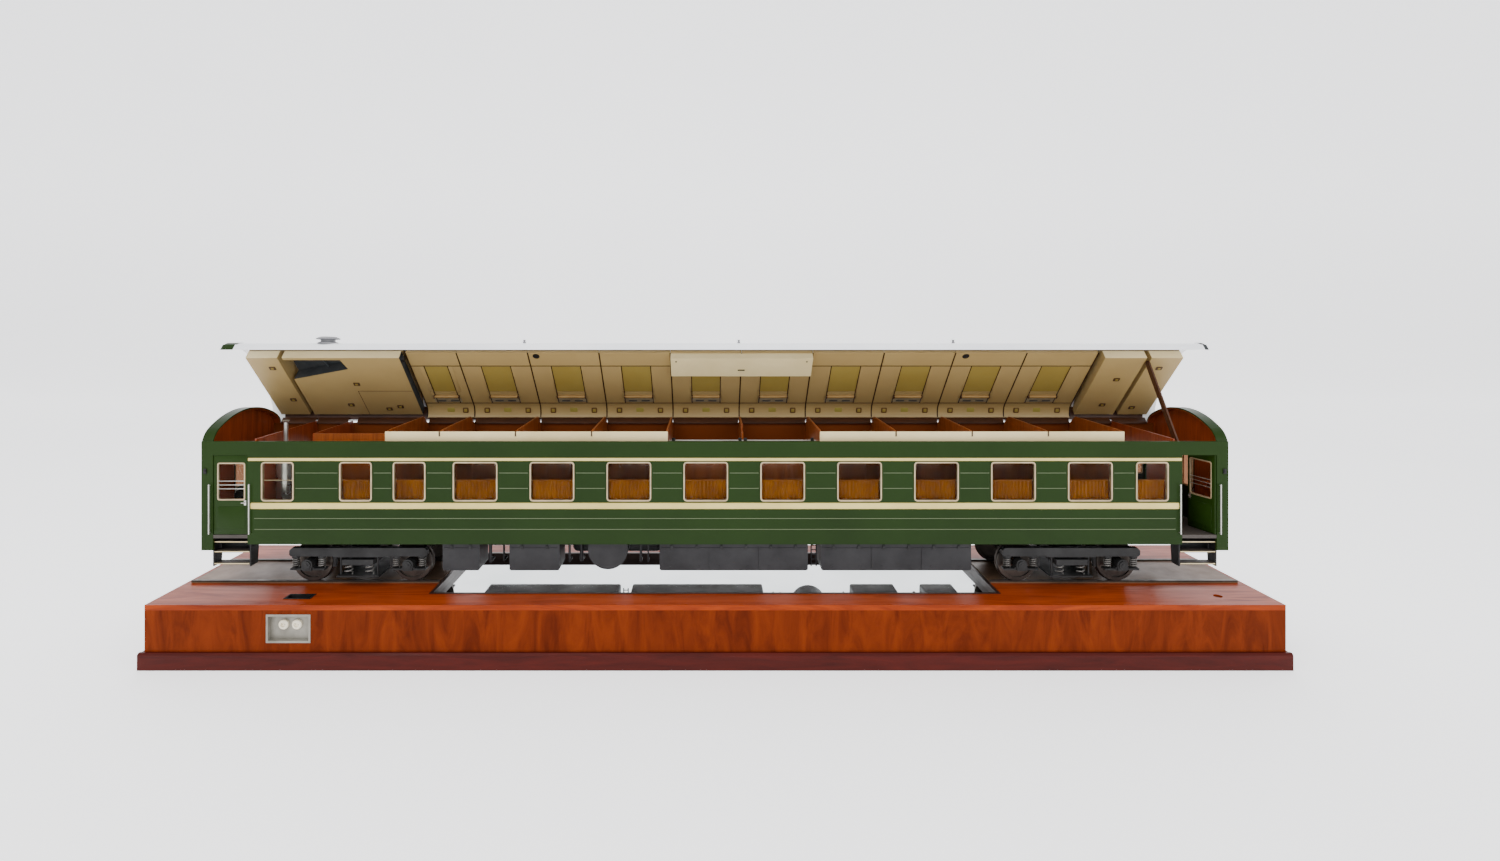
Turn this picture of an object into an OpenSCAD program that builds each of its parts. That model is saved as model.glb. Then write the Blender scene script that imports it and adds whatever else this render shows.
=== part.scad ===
// Model passenger coach at one tenth of full size, on its display plinth.
// X runs along the coach, Y from its near side to its far side, Z up from the underside of the plinth.
// Heights named _h on the coach are above the rail head. Heights named _w are above the eave.

/* [Plinth] */
// Height of the plinth
plinth_h = 143; // [110:1:200]
// How far the plinth reaches past each end of the coach
plinth_over_x = 82; // [60:1:160]
// How far the plinth reaches past each side of the coach
plinth_over_y = 72; // [50:1:140]
// Thickness of the plinth's boards
board_t = 12; // [8:1:18]
// Height of the skirting
skirt_h = 38; // [20:1:55]
// Thickness of the skirting
skirt_t = 10; // [6:1:16]
// Width of the bevel on the skirting's upper edge
skirt_bevel = 4; // [1:0.5:5]
// Length of the inspection pit
pit_l = 1320; // [900:10:1340]
// Width of the inspection pit
pit_w = 300; // [200:5:360]
// Depth of the pit down to its floor
pit_depth = 18; // [12:1:40]
// Wall of the pit's metal tray
tray_t = 2; // [1:0.5:3]
// Width of the tray's rim on the plinth
tray_rim = 6; // [3:1:12]
// Thickness of the pit mirror
mirror_t = 3; // [2:0.5:5]
// Power inlet, distance from the middle of the plinth
inlet_x = 957; // [800:1:1100]
// Power inlet, width
inlet_l = 94; // [60:1:140]
// Power inlet, height
inlet_high = 58; // [40:1:70]
// Power inlet, distance below the plinth's top
inlet_drop = 24; // [18:1:30]
// Power inlet, depth behind the front board's face
inlet_deep = 14; // [10:1:30]
// Diameter of an inlet socket
socket_d = 22; // [14:1:28]
// Spacing of the inlet sockets
socket_gap = 30; // [28:1:50]
// Slot in the plinth's top, length
slot_l = 58; // [30:1:90]
// Slot in the plinth's top, width
slot_wide = 29; // [16:1:34]
// Slot in the plinth's top, distance in front of the near side
slot_ahead = 20; // [18:1:30]
// Diameter of the round hole in the plinth's top
hole_d = 20; // [8:1:30]
// Round hole, distance in from the end of the coach
hole_in = 35; // [20:1:80]
// Round hole, distance in front of the near side
hole_ahead = 16; // [12:1:40]

/* [Track] */
// Distance between the rails
gauge = 152; // [130:0.5:165]
// Width of a rail
rail_head = 7.5; // [5:0.5:10]
// Height of a rail
rail_high = 3.5; // [3.2:0.1:8]
// Thickness of the track plate
plate_t = 3; // [2:0.5:6]
// Bare plinth left past each end of the track
track_end = 14; // [4:1:40]

/* [Body] */
// Length of the coach body
body_l = 2395; // [2300:5:2900]
// Width of the coach body
body_w = 306; // [280:1:370]
// Thickness of the side and end walls
wall_t = 6; // [5:0.5:9]
// Lower edge of the side walls
sill_h = 108; // [104:1:112]
// Eave, the upper edge of the side walls
eave_h = 348; // [335:1:420]
// Upper face of the floor
floor_h = 130; // [126:1:134]
// Thickness of the floor
floor_t = 8; // [6:0.5:10]
// Lower edge of the aprons at the corners
apron_h = 94; // [88:1:100]
// Radius of the long ribs on the walls
rib_r = 1.2; // [0.6:0.1:2]
// Length of a vestibule
vest_l = 121.5; // [118:0.5:150]
// Thickness of the inner walls
inner_t = 4; // [3:0.5:6]

/* [Windows] */
// Width of a corridor window over its frame
win_w = 104; // [80:1:120]
// Width of a small window over its frame
small_win_w = 76; // [50:1:90]
// Height of a window over its frame
win_high = 92; // [70:1:94]
// Lower edge of the window frames
win_h = 208.5; // [207:0.5:209]
// Outer corner radius of a window frame
win_r = 8; // [6:1:20]
// Width of a window frame's band
frame_band = 3; // [2:0.5:6]
// How far a window frame stands proud
frame_proud = 2; // [1:0.25:3]
// Wall of the frame's sleeve inside the wall
sleeve_t = 1.5; // [1:0.25:2]
// Thickness of a window pane
pane_t = 1.5; // [1:0.25:3]
// Distance of the end windows from the ends of the body
end_win_in = 178; // [170:1:182]
// Distance of the washroom window from the first compartment
wash_win_out = 61; // [50:1:90]
// Height of the half curtains
curtain_high = 44; // [30:1:60]
// Depth of a curtain fold
fold_amp = 1.8; // [0.8:0.1:2]
// Number of folds in a curtain
fold_n = 5; // [3:1:8]
// Thickness of the curtain cloth
cloth_t = 0.8; // [0.5:0.1:1]

/* [Trim] */
// Height of the waist moulding above the rail
waist_h = 190.4; // [186:0.2:192]
// Height of the waist moulding's face
waist_high = 14.6; // [10:0.2:15]
// How far the waist moulding stands proud
waist_proud = 2.6; // [1.5:0.1:3.5]
// Lower edge of the cornice strip
cornice_h = 303; // [302:0.5:310]
// Height of the cornice strip
cornice_high = 6.6; // [4:0.2:9]
// How far the cornice strip stands proud
cornice_proud = 2; // [1:0.1:3]

/* [Doors] */
// Width of a side doorway
door_w = 81; // [66:1:84]
// Wall left between a side doorway and the end of the body
door_post = 27; // [24:1:32]
// Upper edge of the side doorways
door_top_h = 316; // [302:1:328]
// Thickness of a door
leaf_t = 4; // [3:0.5:5]
// Width of a door beside its window, both sides together
door_win_in = 13; // [11:0.5:24]
// Gap around a door
door_gap = 0.4; // [0.3:0.1:1]
// Radius of a door's hinge pins
pin_r = 1.2; // [0.8:0.1:1.6]
// Length of a door's hinge pins
pin_l = 6; // [4:0.5:7]
// Radial clearance of the hinge pins
pin_fit = 0.05; // [0.02:0.01:0.1]
// How far the near right door stands open
near_open = 78; // [0:1:85]
// Width of an end doorway
end_door_w = 66; // [56:1:80]
// Upper edge of the end doorways
end_door_h = 312; // [300:1:326]

/* [Roof] */
// Rise of the roof over the eave
roof_rise = 63; // [55:1:80]
// Overhang of the roof past the side walls
roof_over = 2; // [1:0.5:4]
// Thickness of the roof shell
roof_t = 3; // [2:0.5:4]
// Gap between the closed roof and the walls
roof_gap = 0.5; // [0.3:0.1:1]
// Half angle of the roof's flat middle arc
crown_angle = 28; // [24:1:32]
// Slope at which the roof's side arcs end
eave_angle = 70; // [64:1:76]
// Length of the fixed hood at each end
hood_l = 26; // [22:1:40]
// Gap between the hoods and the roof
hood_gap = 1; // [0.5:0.1:2]
// How far the roof stands open
roof_open = 44; // [30:1:48]
// Distance of the hinge axis from the far wall
hinge_out = 6; // [5:0.5:8]
// Number of roof hinges
hinge_n = 5; // [3:1:7]
// Length of a hinge's middle knuckle
knuckle_l = 12; // [8:1:20]
// Radius of a hinge knuckle
knuckle_r = 3.2; // [2.6:0.1:4]
// Radius of a roof hinge's pin
hinge_pin_r = 1.5; // [1:0.1:1.8]
// Underside of the service ceilings above the eave
service_w = 8; // [7:0.5:10]
// Underside of the compartment ceilings above the eave
bay_w = 25; // [23:0.5:27]
// Thickness of the compartment ceilings
ceiling_t = 3; // [2:0.5:4]
// Front edge of the ceilings, distance in from the near wall's face
ceiling_in = 53; // [45:1:70]
// Gap between neighbouring ceiling panels
panel_gap = 1.2; // [0.6:0.1:2]
// Width of the slot that the stay stands in
stay_slot = 12; // [9:1:16]
// Width of the roof stay
stay_w = 16; // [8:1:18]
// Thickness of the roof stay
stay_t = 4; // [2.5:0.5:5]
// Distance of the stay's upper end from the roof hinge
stay_reach = 245; // [200:1:250]

/* [Compartments] */
// Number of compartments
bay_n = 9; // [9:1:9]
// Length of a compartment
bay_l = 179.2; // [176:0.2:179.4]
// Start of the first compartment, distance left of the middle
bay_start = 648.4; // [640:0.2:660]
// Length of the attendant's compartment
service_l = 128; // [110:1:140]
// Width of the corridor with its wall
corridor_w = 89; // [80:1:96]
// Number of the first compartment without a fixed luggage loft, from 0
open_bay = 3; // [3:1:3]
// Number of compartments without a fixed luggage loft
open_n = 2; // [2:1:2]
// Underside of the luggage loft, below the eave
loft_drop = 20; // [16:1:26]
// Upper edge of the loft's front panel above the eave
loft_w = 20; // [14:0.5:20.5]
// Upper edge of the partitions above the eave
partition_w = 21.5; // [16:0.5:22]
// Width of a compartment doorway
cabin_door_w = 62; // [50:1:70]
// Height of a compartment doorway
cabin_door_high = 186; // [170:1:188]
// Width of a berth
berth_w = 56; // [44:1:60]
// Height of the lower berths above the floor
bench_high = 40; // [30:1:46]
// Height of the upper berths above the floor
upper_high = 138; // [134:1:160]
// Thickness of a lower cushion
cushion_t = 10; // [6:0.5:14]
// Thickness of an upper cushion
mattress_t = 7; // [4:0.5:10]
// Radius of the boiler
boiler_r = 22; // [16:1:24]
// Radius of the flue pipe
flue_r = 5; // [3:0.5:6]
// Upper end of the flue above the eave
flue_w = 36; // [20:1:38]

/* [Bogies] */
// Distance between the bogie centres
bogie_gap = 1700; // [1690:5:1780]
// Distance between the axles of a bogie
wheelbase = 240; // [230:1:260]
// Diameter of a wheel on its tread
wheel_d = 95; // [88:0.5:98]
// Depth of a wheel flange
flange = 2.6; // [1.5:0.1:3]
// Gap between the wheels and the rails
wheel_gap = 0.3; // [0.1:0.1:0.6]
// Radius of an axle between its wheels
axle_r = 8; // [6:0.5:10]
// Radius of an axle journal
journal_r = 6.5; // [5:0.5:7]
// Radial clearance of a journal in its axle box
journal_fit = 0.05; // [0.02:0.01:0.1]
// Middle of the axle boxes, distance from the coach's centre line
box_y = 104; // [100:1:108]
// Length of an axle box along the axle
box_l = 26; // [20:1:28]
// Upper face of a bogie's side beams
beam_h = 87; // [84:1:90]
// Height of a bogie's side beams
beam_high = 20; // [16:1:22]
// Thickness of a bogie's side beams
beam_t = 16; // [12:1:18]
// Distance of the axle springs from their axle box
spring_off = 31; // [30:1:34]

/* [Springs] */
// Mean radius of an axle spring
spring_r = 7.4; // [6:0.1:7.6]
// Wire diameter of an axle spring
wire_d = 2.8; // [1.8:0.1:3]
// Turns of an axle spring
spring_n = 4; // [3:1:4]
// Mean radius of a bolster spring
bolster_spring_r = 8.5; // [7:0.1:9]
// Wire diameter of a bolster spring
bolster_wire_d = 3.2; // [2:0.1:3.4]
// Turns of a bolster spring
bolster_spring_n = 2; // [2:1:3]

/* [Underfloor] */
// Upper face of the boxes under the floor
gear_h = 104; // [100:1:104]
// Lower face of the boxes under the floor
gear_low_h = 42; // [36:1:60]
// Distance of the boxes' faces in from the side of the coach
gear_in = 16; // [12:1:30]
// Depth of the boxes under the floor
gear_deep = 74; // [50:1:80]
// Radius of an air tank
tank_r = 17; // [10:1:18]

/* [Hidden] */
$fn = 64;
seat_gap = 0.15;
close_gap = 0.3;
joint_gap = 0.1;
arc_lap = 2;
eps = 0.01;

// Driving planes of the plinth, the track and the body
half_l = body_l / 2;
half_w = body_w / 2;
plinth_l = body_l + 2 * plinth_over_x;
plinth_w = body_w + 2 * plinth_over_y;
rail_z = plinth_h + plate_t + rail_high;
eave_z = rail_z + eave_h;
inner_y = half_w - wall_t;
inner_x = half_l - wall_t;

// Height above the rail head to height above the plinth's underside
function up(h) = rail_z + h;

// Doorways and vestibules
door_out = half_l - door_post;
door_in = door_out - door_w;
vest_x = half_l - vest_l;
leaf_end = leaf_t / 2;
side_pin_x = door_out - door_gap - leaf_end;
side_leaf_l = door_w - 2 * door_gap - leaf_end;
door_low_h = floor_h + 1;
end_pin_y = end_door_w / 2 - door_gap - leaf_end;
end_leaf_l = end_door_w - 2 * door_gap - leaf_end;

// Compartments, from the attendant's compartment on the left
bays_left = -bay_start - service_l;
bays_right = -bay_start + bay_n * bay_l;
function bay_x(i) = -bay_start + i * bay_l;
open_left = bay_x(open_bay);
open_right = bay_x(open_bay + open_n);
bay_spans = concat([[bays_left, -bay_start]], [for (i = [0 : bay_n - 1]) [bay_x(i), bay_x(i + 1)]]);
corridor_y = -half_w + corridor_w;
loft_y = -inner_y + 12;
ceiling_y = -half_w + ceiling_in;
loft_box_w = 70;
service_wall_x = -half_l + end_win_in + 44;
service_top_w = 5;

// Windows as [middle, width], from left to right
windows = concat(
    [[-half_l + end_win_in, small_win_w], [bays_left - wash_win_out, small_win_w]],
    [[(bays_left - bay_start) / 2, small_win_w]],
    [for (i = [0 : bay_n - 1]) [bay_x(i + 0.5), win_w]],
    [[half_l - end_win_in, small_win_w]]
);
win_mid_z = up(win_h + win_high / 2);
rod_h = win_h + frame_band + curtain_high;
rod_r = 0.9;
rod_y = -inner_y + 3.4;

// Roof profile: a wide middle arc that meets two tighter side arcs
roof_hw = half_w + roof_over;
roof_l = body_l + 4;
roof_z = eave_z + roof_gap;
arc_k = (1 - cos(crown_angle)) / sin(crown_angle);
arc_den = cos(crown_angle) - cos(eave_angle) - (sin(eave_angle) - sin(crown_angle)) * arc_k;
side_r = (roof_rise - roof_hw * arc_k) / arc_den;
crown_r = (roof_hw - side_r * (sin(eave_angle) - sin(crown_angle))) / sin(crown_angle);
side_y = (crown_r - side_r) * sin(crown_angle);
side_z = roof_rise - crown_r + (crown_r - side_r) * cos(crown_angle);
hinge_y = half_w + hinge_out;
hinge_z = eave_z + 0.5;
panel_end = half_l - hood_l - 1.5;
service_panel_gap = 11;
shell_in = roof_t + close_gap;
turn_z = side_z + (side_r - shell_in) * cos(crown_angle);
function shell_y(z) = z > turn_z
    ? sqrt(pow(crown_r - shell_in, 2) - pow(z + crown_r - roof_rise, 2))
    : side_y + sqrt(pow(side_r - shell_in, 2) - pow(z - side_z, 2));
cove_in = 40;
cove_back = 14.6;
cove_y = min(half_w - cove_in, shell_y(bay_w + ceiling_t - roof_gap) - cove_back);
cove_r = 33;
diffuser_hw = 42;
diffuser_y = [corridor_y + 18, cove_y - 56];
lamp_y = [cove_y - 54, cove_y - 10];
ledge = 3;

// Roof stay: its foot turns on a pin at the near wall, and its upper end stands in the roof's slot
stay_x = vest_x + 9.5;
stay_foot = [-inner_y + 10, eave_z - 4];
stay_lift = 9;
stay_tip = [
    hinge_y - stay_reach * cos(roof_open) + stay_lift * sin(roof_open),
    hinge_z + stay_reach * sin(roof_open) + stay_lift * cos(roof_open)
];
stay_l = norm(stay_tip - stay_foot);
stay_angle = atan2(stay_tip[1] - stay_foot[1], stay_tip[0] - stay_foot[0]);
stay_pin_r = 2;
lug_t = 4;

// Bogies
axle_h = wheel_d / 2 + wheel_gap;
wheel_in = gauge / 2 - 4;
wheel_wide = 13;
journal_end = box_y + box_l / 2 - 4;
beam_low_h = beam_h - beam_high;
cup_h = 4;
wing_h = axle_h - 9;
wing_t = 4;
plank_h = 22;
plank_t = 4;
bolster_h = 60;
bolster_t = 13;
pad_h = 92;
sill_low_h = 98;
bolster_x = 25;
link_x = 44;

// Gear under the floor on the near side, as [left end, right end]
plain_boxes = [[-640, -553], [-483, -365]];
round_box = [-299, -205];
battery_spans = [[-130, 219], [250, 603]];

// A two-dimensional rectangle with round corners, centred
module rounded(w, h, r) {
    square([w - 2 * r, h], center = true);
    square([w, h - 2 * r], center = true);
    for (x = [-1, 1], y = [-1, 1]) translate([x * (w / 2 - r), y * (h / 2 - r)]) circle(r);
}

// A block between two corners
module block(x, y, z) {
    translate([x[0], y[0], z[0]]) cube([x[1] - x[0], y[1] - y[0], z[1] - z[0]]);
}

// A profile in Y and Z, drawn out along X
module along_x(x0, x1) {
    translate([x0, 0, 0]) rotate([90, 0, 90]) linear_extrude(x1 - x0) children();
}

// A profile in X and Z, drawn out along Y
module along_y(y0, y1) {
    translate([0, y1, 0]) rotate([90, 0, 0]) linear_extrude(y1 - y0) children();
}

// A rod along X, and one along Y
module rod_x(x0, x1, y, z, r) {
    translate([x0, y, z]) rotate([0, 90, 0]) cylinder(r = r, h = x1 - x0);
}
module rod_y(x, y0, y1, z, r) {
    translate([x, y0, z]) rotate([-90, 0, 0]) cylinder(r = r, h = y1 - y0);
}

// Copies at both ends, and on both sides
module both_ends() {
    for (m = [0, 1]) mirror([m, 0, 0]) children();
}
module both_sides() {
    for (m = [0, 1]) mirror([0, m, 0]) children();
}

// The area under the roof's outer line, drawn in by d
module arch(d) {
    reach = (crown_r - d) * sin(crown_angle);
    intersection() {
        translate([0, roof_rise - crown_r]) circle(crown_r - d);
        translate([-reach, 0]) square([2 * reach, 2 * roof_rise]);
    }
    for (m = [0, 1]) mirror([m, 0]) intersection() {
        translate([side_y, side_z]) circle(side_r - d);
        translate([reach - arc_lap, 0]) square([roof_hw, 2 * roof_rise]);
    }
}

// The same area with a strip below it, to cut a hollow that is open at the bottom
module arch_hollow(d) {
    base = side_y + sqrt(pow(side_r - d, 2) - pow(side_z, 2));
    arch(d);
    translate([-base, -1]) square([2 * base, 1]);
}

// The closed roof, swung open on its hinges
module roof_pose() {
    translate([0, hinge_y, hinge_z]) rotate([-roof_open, 0, 0]) translate([0, -hinge_y, -hinge_z]) children();
}

// Plinth and track
pit_hl = pit_l / 2;
pit_hw = pit_w / 2;
slot_y = -half_w - slot_ahead;
hole_pos = [half_l - hole_in, -half_w - hole_ahead];
inlet_z = [plinth_h - inlet_drop - inlet_high, plinth_h - inlet_drop];
inlet_mid = -inlet_x;
front_y = -plinth_w / 2;
track_x = [pit_hl + tray_rim + 1, plinth_l / 2 - track_end];
track_hw = gauge / 2 + rail_head;

module plinth_top() color("peru") difference() {
    block([-plinth_l / 2, plinth_l / 2], [front_y, -front_y], [plinth_h - board_t, plinth_h]);
    block([-pit_hl, pit_hl], [-pit_hw, pit_hw], [0, plinth_h + 1]);
    translate([hole_pos[0], hole_pos[1], 0]) cylinder(d = hole_d, h = plinth_h + 1);
    block(
        [inlet_mid - slot_l / 2, inlet_mid + slot_l / 2],
        [slot_y - slot_wide / 2, slot_y + slot_wide / 2],
        [0, plinth_h + 1]
    );
}

module plinth_boards() color("sienna") {
    low_z = [0, plinth_h - board_t];
    difference() {
        block([-plinth_l / 2, plinth_l / 2], [front_y, front_y + board_t], low_z);
        block(
            [inlet_mid - inlet_l / 2, inlet_mid + inlet_l / 2],
            [front_y - 1, front_y + board_t + 1],
            inlet_z
        );
    }
    block([-plinth_l / 2, plinth_l / 2], [-front_y - board_t, -front_y], low_z);
    end_y = -front_y - board_t - joint_gap;
    both_ends() block([plinth_l / 2 - board_t, plinth_l / 2], [-end_y, end_y], low_z);
}

module skirting_profile() {
    polygon([
        [0, 0], [skirt_t, 0], [skirt_t, skirt_h - skirt_bevel],
        [skirt_t - skirt_bevel, skirt_h], [0, skirt_h]
    ]);
}

module plinth_skirting() color("saddlebrown") {
    both_sides() along_x(-plinth_l / 2 - skirt_t, plinth_l / 2 + skirt_t)
        translate([-front_y, 0]) skirting_profile();
    both_ends() along_y(front_y + joint_gap, -front_y - joint_gap)
        translate([plinth_l / 2, 0]) skirting_profile();
}

module pit_tray() color("dimgray") {
    hl = pit_hl - seat_gap;
    hw = pit_hw - seat_gap;
    floor_z = plinth_h - pit_depth;
    difference() {
        union() {
            block([-hl, hl], [-hw, hw], [floor_z - tray_t, plinth_h + 1]);
            block([-hl - tray_rim, hl + tray_rim], [-hw - tray_rim, hw + tray_rim], [plinth_h, plinth_h + 1]);
        }
        block([-hl + tray_t, hl - tray_t], [-hw + tray_t, hw - tray_t], [floor_z, plinth_h + 2]);
    }
}

module pit_mirror() color("lightsteelblue") {
    hl = pit_hl - tray_t - close_gap;
    hw = pit_hw - tray_t - close_gap;
    block([-hl, hl], [-hw, hw], [plinth_h - pit_depth, plinth_h - pit_depth + mirror_t]);
}

module track_plates() color("darkgray") both_ends()
    block(track_x, [-track_hw, track_hw], [plinth_h, plinth_h + plate_t]);

module rails() color("gray") both_ends() both_sides()
    block(track_x, [gauge / 2, track_hw], [plinth_h + plate_t, rail_z]);

// Power inlet: an open tray in the front board, with two round sockets
module power_tray() color("silver") {
    hl = inlet_l / 2 - seat_gap;
    z = [inlet_z[0] + seat_gap, inlet_z[1] - seat_gap];
    wall = 1.5;
    lip = 3;
    translate([inlet_mid, front_y, 0]) difference() {
        union() {
            block([-hl, hl], [-1, inlet_deep], z);
            block([-hl - lip, hl + lip], [-1, 0], [z[0] - lip, z[1] + lip]);
        }
        block([-hl + wall, hl - wall], [-2, inlet_deep - wall], [z[0] + wall, z[1] - wall]);
    }
}

module power_sockets() color("oldlace") {
    back_y = front_y + inlet_deep - 1.5;
    mid_z = (inlet_z[0] + inlet_z[1]) / 2 + 6;
    for (s = [-1, 1]) translate([inlet_mid + s * socket_gap / 2, back_y, mid_z])
        rotate([90, 0, 0]) difference() {
            rotate_extrude() polygon([
                [0, 0], [socket_d / 2, 0], [socket_d / 2, 5], [socket_d / 2 - 2, 7],
                [socket_d / 4, 7], [socket_d / 4, 4], [0, 4]
            ]);
            for (p = [-1, 1]) translate([p * socket_d / 8, 0, 1]) cylinder(r = 1, h = 8);
        }
}

module slot_insert() color("black") {
    hl = slot_l / 2 - seat_gap;
    hw = slot_wide / 2 - seat_gap;
    wall = 1.5;
    lip = 2;
    deep = board_t;
    translate([inlet_mid, slot_y, plinth_h]) difference() {
        union() {
            block([-hl, hl], [-hw, hw], [-deep, 1]);
            block([-hl - lip, hl + lip], [-hw - lip, hw + lip], [0, 1]);
        }
        block([-hl + wall, hl - wall], [-hw + wall, hw - wall], [-deep + wall, 2]);
    }
}

// Side walls
frame_in_h = win_high - 2 * frame_band;
inner_r = win_r - frame_band;
sleeve_r = inner_r + sleeve_t;
rib_heights = [143.3, 168.6];
short_rib_heights = [238.8, 274.6];

module side_outline() {
    grow = 2 * (sleeve_t + seat_gap);
    difference() {
        union() {
            translate([-half_l, up(sill_h)]) square([body_l, eave_h - sill_h]);
            for (m = [0, 1]) mirror([m, 0]) translate([door_out, up(apron_h)])
                square([door_post, sill_h - apron_h + 1]);
        }
        for (w = windows) translate([w[0], win_mid_z])
            rounded(w[1] - 2 * frame_band + grow, frame_in_h + grow, sleeve_r + seat_gap);
        for (m = [0, 1]) mirror([m, 0]) translate([door_in, up(apron_h) - 1])
            square([door_w, door_top_h - apron_h + 1]);
    }
}

module rib(x0, x1, h) {
    rod_x(x0, x1, -half_w, up(h), rib_r);
}

module side_wall() difference() {
    union() {
        along_y(-half_w, -inner_y) side_outline();
        for (h = rib_heights) rib(-door_in + 16, door_in - 16, h);
        for (h = short_rib_heights, i = [0 : len(windows) - 2]) {
            a = windows[i];
            b = windows[i + 1];
            rib(a[0] + a[1] / 2 + 4, b[0] - b[1] / 2 - 4, h);
        }
    }
    both_ends() translate([side_pin_x, -half_w + wall_t / 2, up(door_top_h) - 1])
        cylinder(r = pin_r + pin_fit, h = pin_l + 2);
}

// The near wall carries the lug and pin that the stay's foot turns on
module near_side_wall() color("darkgreen") {
    lug_x = stay_x - stay_t / 2 - close_gap;
    side_wall();
    block([lug_x - lug_t, lug_x], [-inner_y - 1, stay_foot[0] + 4], [stay_foot[1] - 5, stay_foot[1] + 4]);
    rod_x(lug_x - 1, stay_x + stay_t / 2 + 1.5, stay_foot[0], stay_foot[1], stay_pin_r);
}

module far_side_wall() color("darkgreen") mirror([0, 1, 0]) side_wall();

// End walls with their fixed hoods, drawn for the right end
hood_d = roof_t + hood_gap;
hood_t = 3;
lining_t = 1.5;
lining_lap = 3;

module end_opening(grow) {
    translate([-end_door_w / 2 - grow, up(floor_h)])
        square([end_door_w + 2 * grow, end_door_h - floor_h + grow]);
}

module end_wall() {
    difference() {
        union() {
            along_x(inner_x, half_l) difference() {
                union() {
                    translate([-inner_y, up(sill_h)]) square([2 * inner_y, eave_h - sill_h + 1]);
                    translate([0, eave_z]) arch(hood_d);
                }
                end_opening(0);
            }
            along_x(half_l - hood_l, half_l) translate([0, eave_z]) difference() {
                arch(hood_d);
                arch_hollow(hood_d + hood_t);
            }
        }
        for (z = [up(end_door_h) - 1, up(floor_h) - pin_l - 1]) translate([half_l - wall_t / 2, end_pin_y, z])
            cylinder(r = pin_r + pin_fit, h = pin_l + 2);
    }
}

module left_end_wall() color("darkgreen") mirror([1, 0, 0]) end_wall();
module right_end_wall() color("darkgreen") end_wall();

module end_linings() color("brown") both_ends() {
    drawn = hood_d + hood_t + close_gap;
    along_x(inner_x - lining_t, inner_x) difference() {
        union() {
            for (drop = [0, lining_lap]) translate([-inner_y + close_gap + 4 * drop, up(floor_h)])
                square([2 * (inner_y - close_gap - 4 * drop), eave_h - floor_h + drop]);
            translate([0, eave_z]) arch(drawn);
        }
        end_opening(2);
    }
    along_x(half_l - hood_l, inner_x - lining_t + eps) translate([0, eave_z]) difference() {
        arch(drawn);
        arch_hollow(drawn + lining_t);
    }
}

// Floor with its solebars, centre sill and bogie pads
sill_hw = 14;
pad_r = 20;

module floor_pan() color("dimgray") {
    slab_z = [up(floor_h - floor_t), up(floor_h)];
    bar_z = [up(gear_h), slab_z[0] - joint_gap];
    difference() {
        union() {
            block([-inner_x, inner_x], [-inner_y, inner_y], slab_z);
            both_ends() both_sides()
                block([door_in + door_gap, door_out - door_gap], [0, half_w - 0.5], slab_z);
        }
        both_ends() both_sides() translate([side_pin_x, half_w - wall_t / 2, slab_z[1] - pin_l])
            cylinder(r = pin_r + pin_fit, h = pin_l + 1);
    }
    both_sides() block([-vest_x + 12, vest_x - 12], [half_w - 35, half_w - 23], bar_z);
    block([-inner_x, inner_x], [-sill_hw, sill_hw], [up(sill_low_h), slab_z[0] - joint_gap]);
    for (s = [-1, 1]) translate([s * bogie_gap / 2, 0, up(pad_h)])
        cylinder(r = pad_r, h = sill_low_h - pad_h - joint_gap);
}

// Mouldings along the sides
module waist_profile() {
    polygon([
        [0, 0], [-waist_proud * 0.6, waist_high * 0.06], [-waist_proud, waist_high * 0.32],
        [-waist_proud, waist_high * 0.66], [-waist_proud * 0.6, waist_high * 0.94], [0, waist_high]
    ]);
}

module waist_mouldings() color("khaki") both_sides() along_x(-door_in + 8, door_in - 8)
    translate([-half_w, up(waist_h)]) waist_profile();

module cornice_strips() color("cornsilk") both_sides() block(
    [-door_in + 2, door_in - 2],
    [-half_w - cornice_proud, -half_w],
    [up(cornice_h), up(cornice_h + cornice_high)]
);

// Window frames, each a band outside the wall and a sleeve through it, with the curtain's rod behind
module window_frame(w) {
    iw = w - 2 * frame_band;
    rod_hw = iw / 2 + sleeve_t;
    translate([0, 0, win_mid_z]) along_y(-half_w - frame_proud, -half_w) difference() {
        rounded(w, win_high, win_r);
        rounded(iw, frame_in_h, inner_r);
    }
    translate([0, 0, win_mid_z]) along_y(-half_w - 1, -inner_y + 1) difference() {
        rounded(iw + 2 * sleeve_t, frame_in_h + 2 * sleeve_t, sleeve_r);
        rounded(iw, frame_in_h, inner_r);
    }
    rod_x(-rod_hw, rod_hw, rod_y, up(rod_h), rod_r);
    for (s = [-1, 1]) translate([s * (rod_hw - sleeve_t / 2), (rod_y - inner_y) / 2, up(rod_h)])
        cube([sleeve_t, rod_y + inner_y + 2 * rod_r, 2.4], center = true);
}

module window_frames() color("silver") both_sides() for (w = windows)
    translate([w[0], 0, 0]) window_frame(w[1]);

module window_panes() color("lightblue", 0.5) both_sides() for (w = windows) translate([w[0], 0, win_mid_z])
    along_y(-half_w + 1, -half_w + 1 + pane_t)
        rounded(w[1] - 2 * frame_band - 2 * seat_gap, frame_in_h - 2 * seat_gap, inner_r - seat_gap);

// A half curtain hung in folds below its rod
module curtain(w) {
    wide = w - 2 * frame_band - 4;
    steps = 2 * fold_n;
    front = [for (i = [0 : steps]) [-wide / 2 + wide * i / steps, (i % 2 == 0 ? 1 : -1) * fold_amp / 2]];
    back = [for (i = [steps : -1 : 0]) [front[i][0], front[i][1] + cloth_t]];
    translate([0, rod_y, up(win_h + frame_band)]) linear_extrude(curtain_high - rod_r - close_gap)
        polygon(concat(front, back));
}

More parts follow.
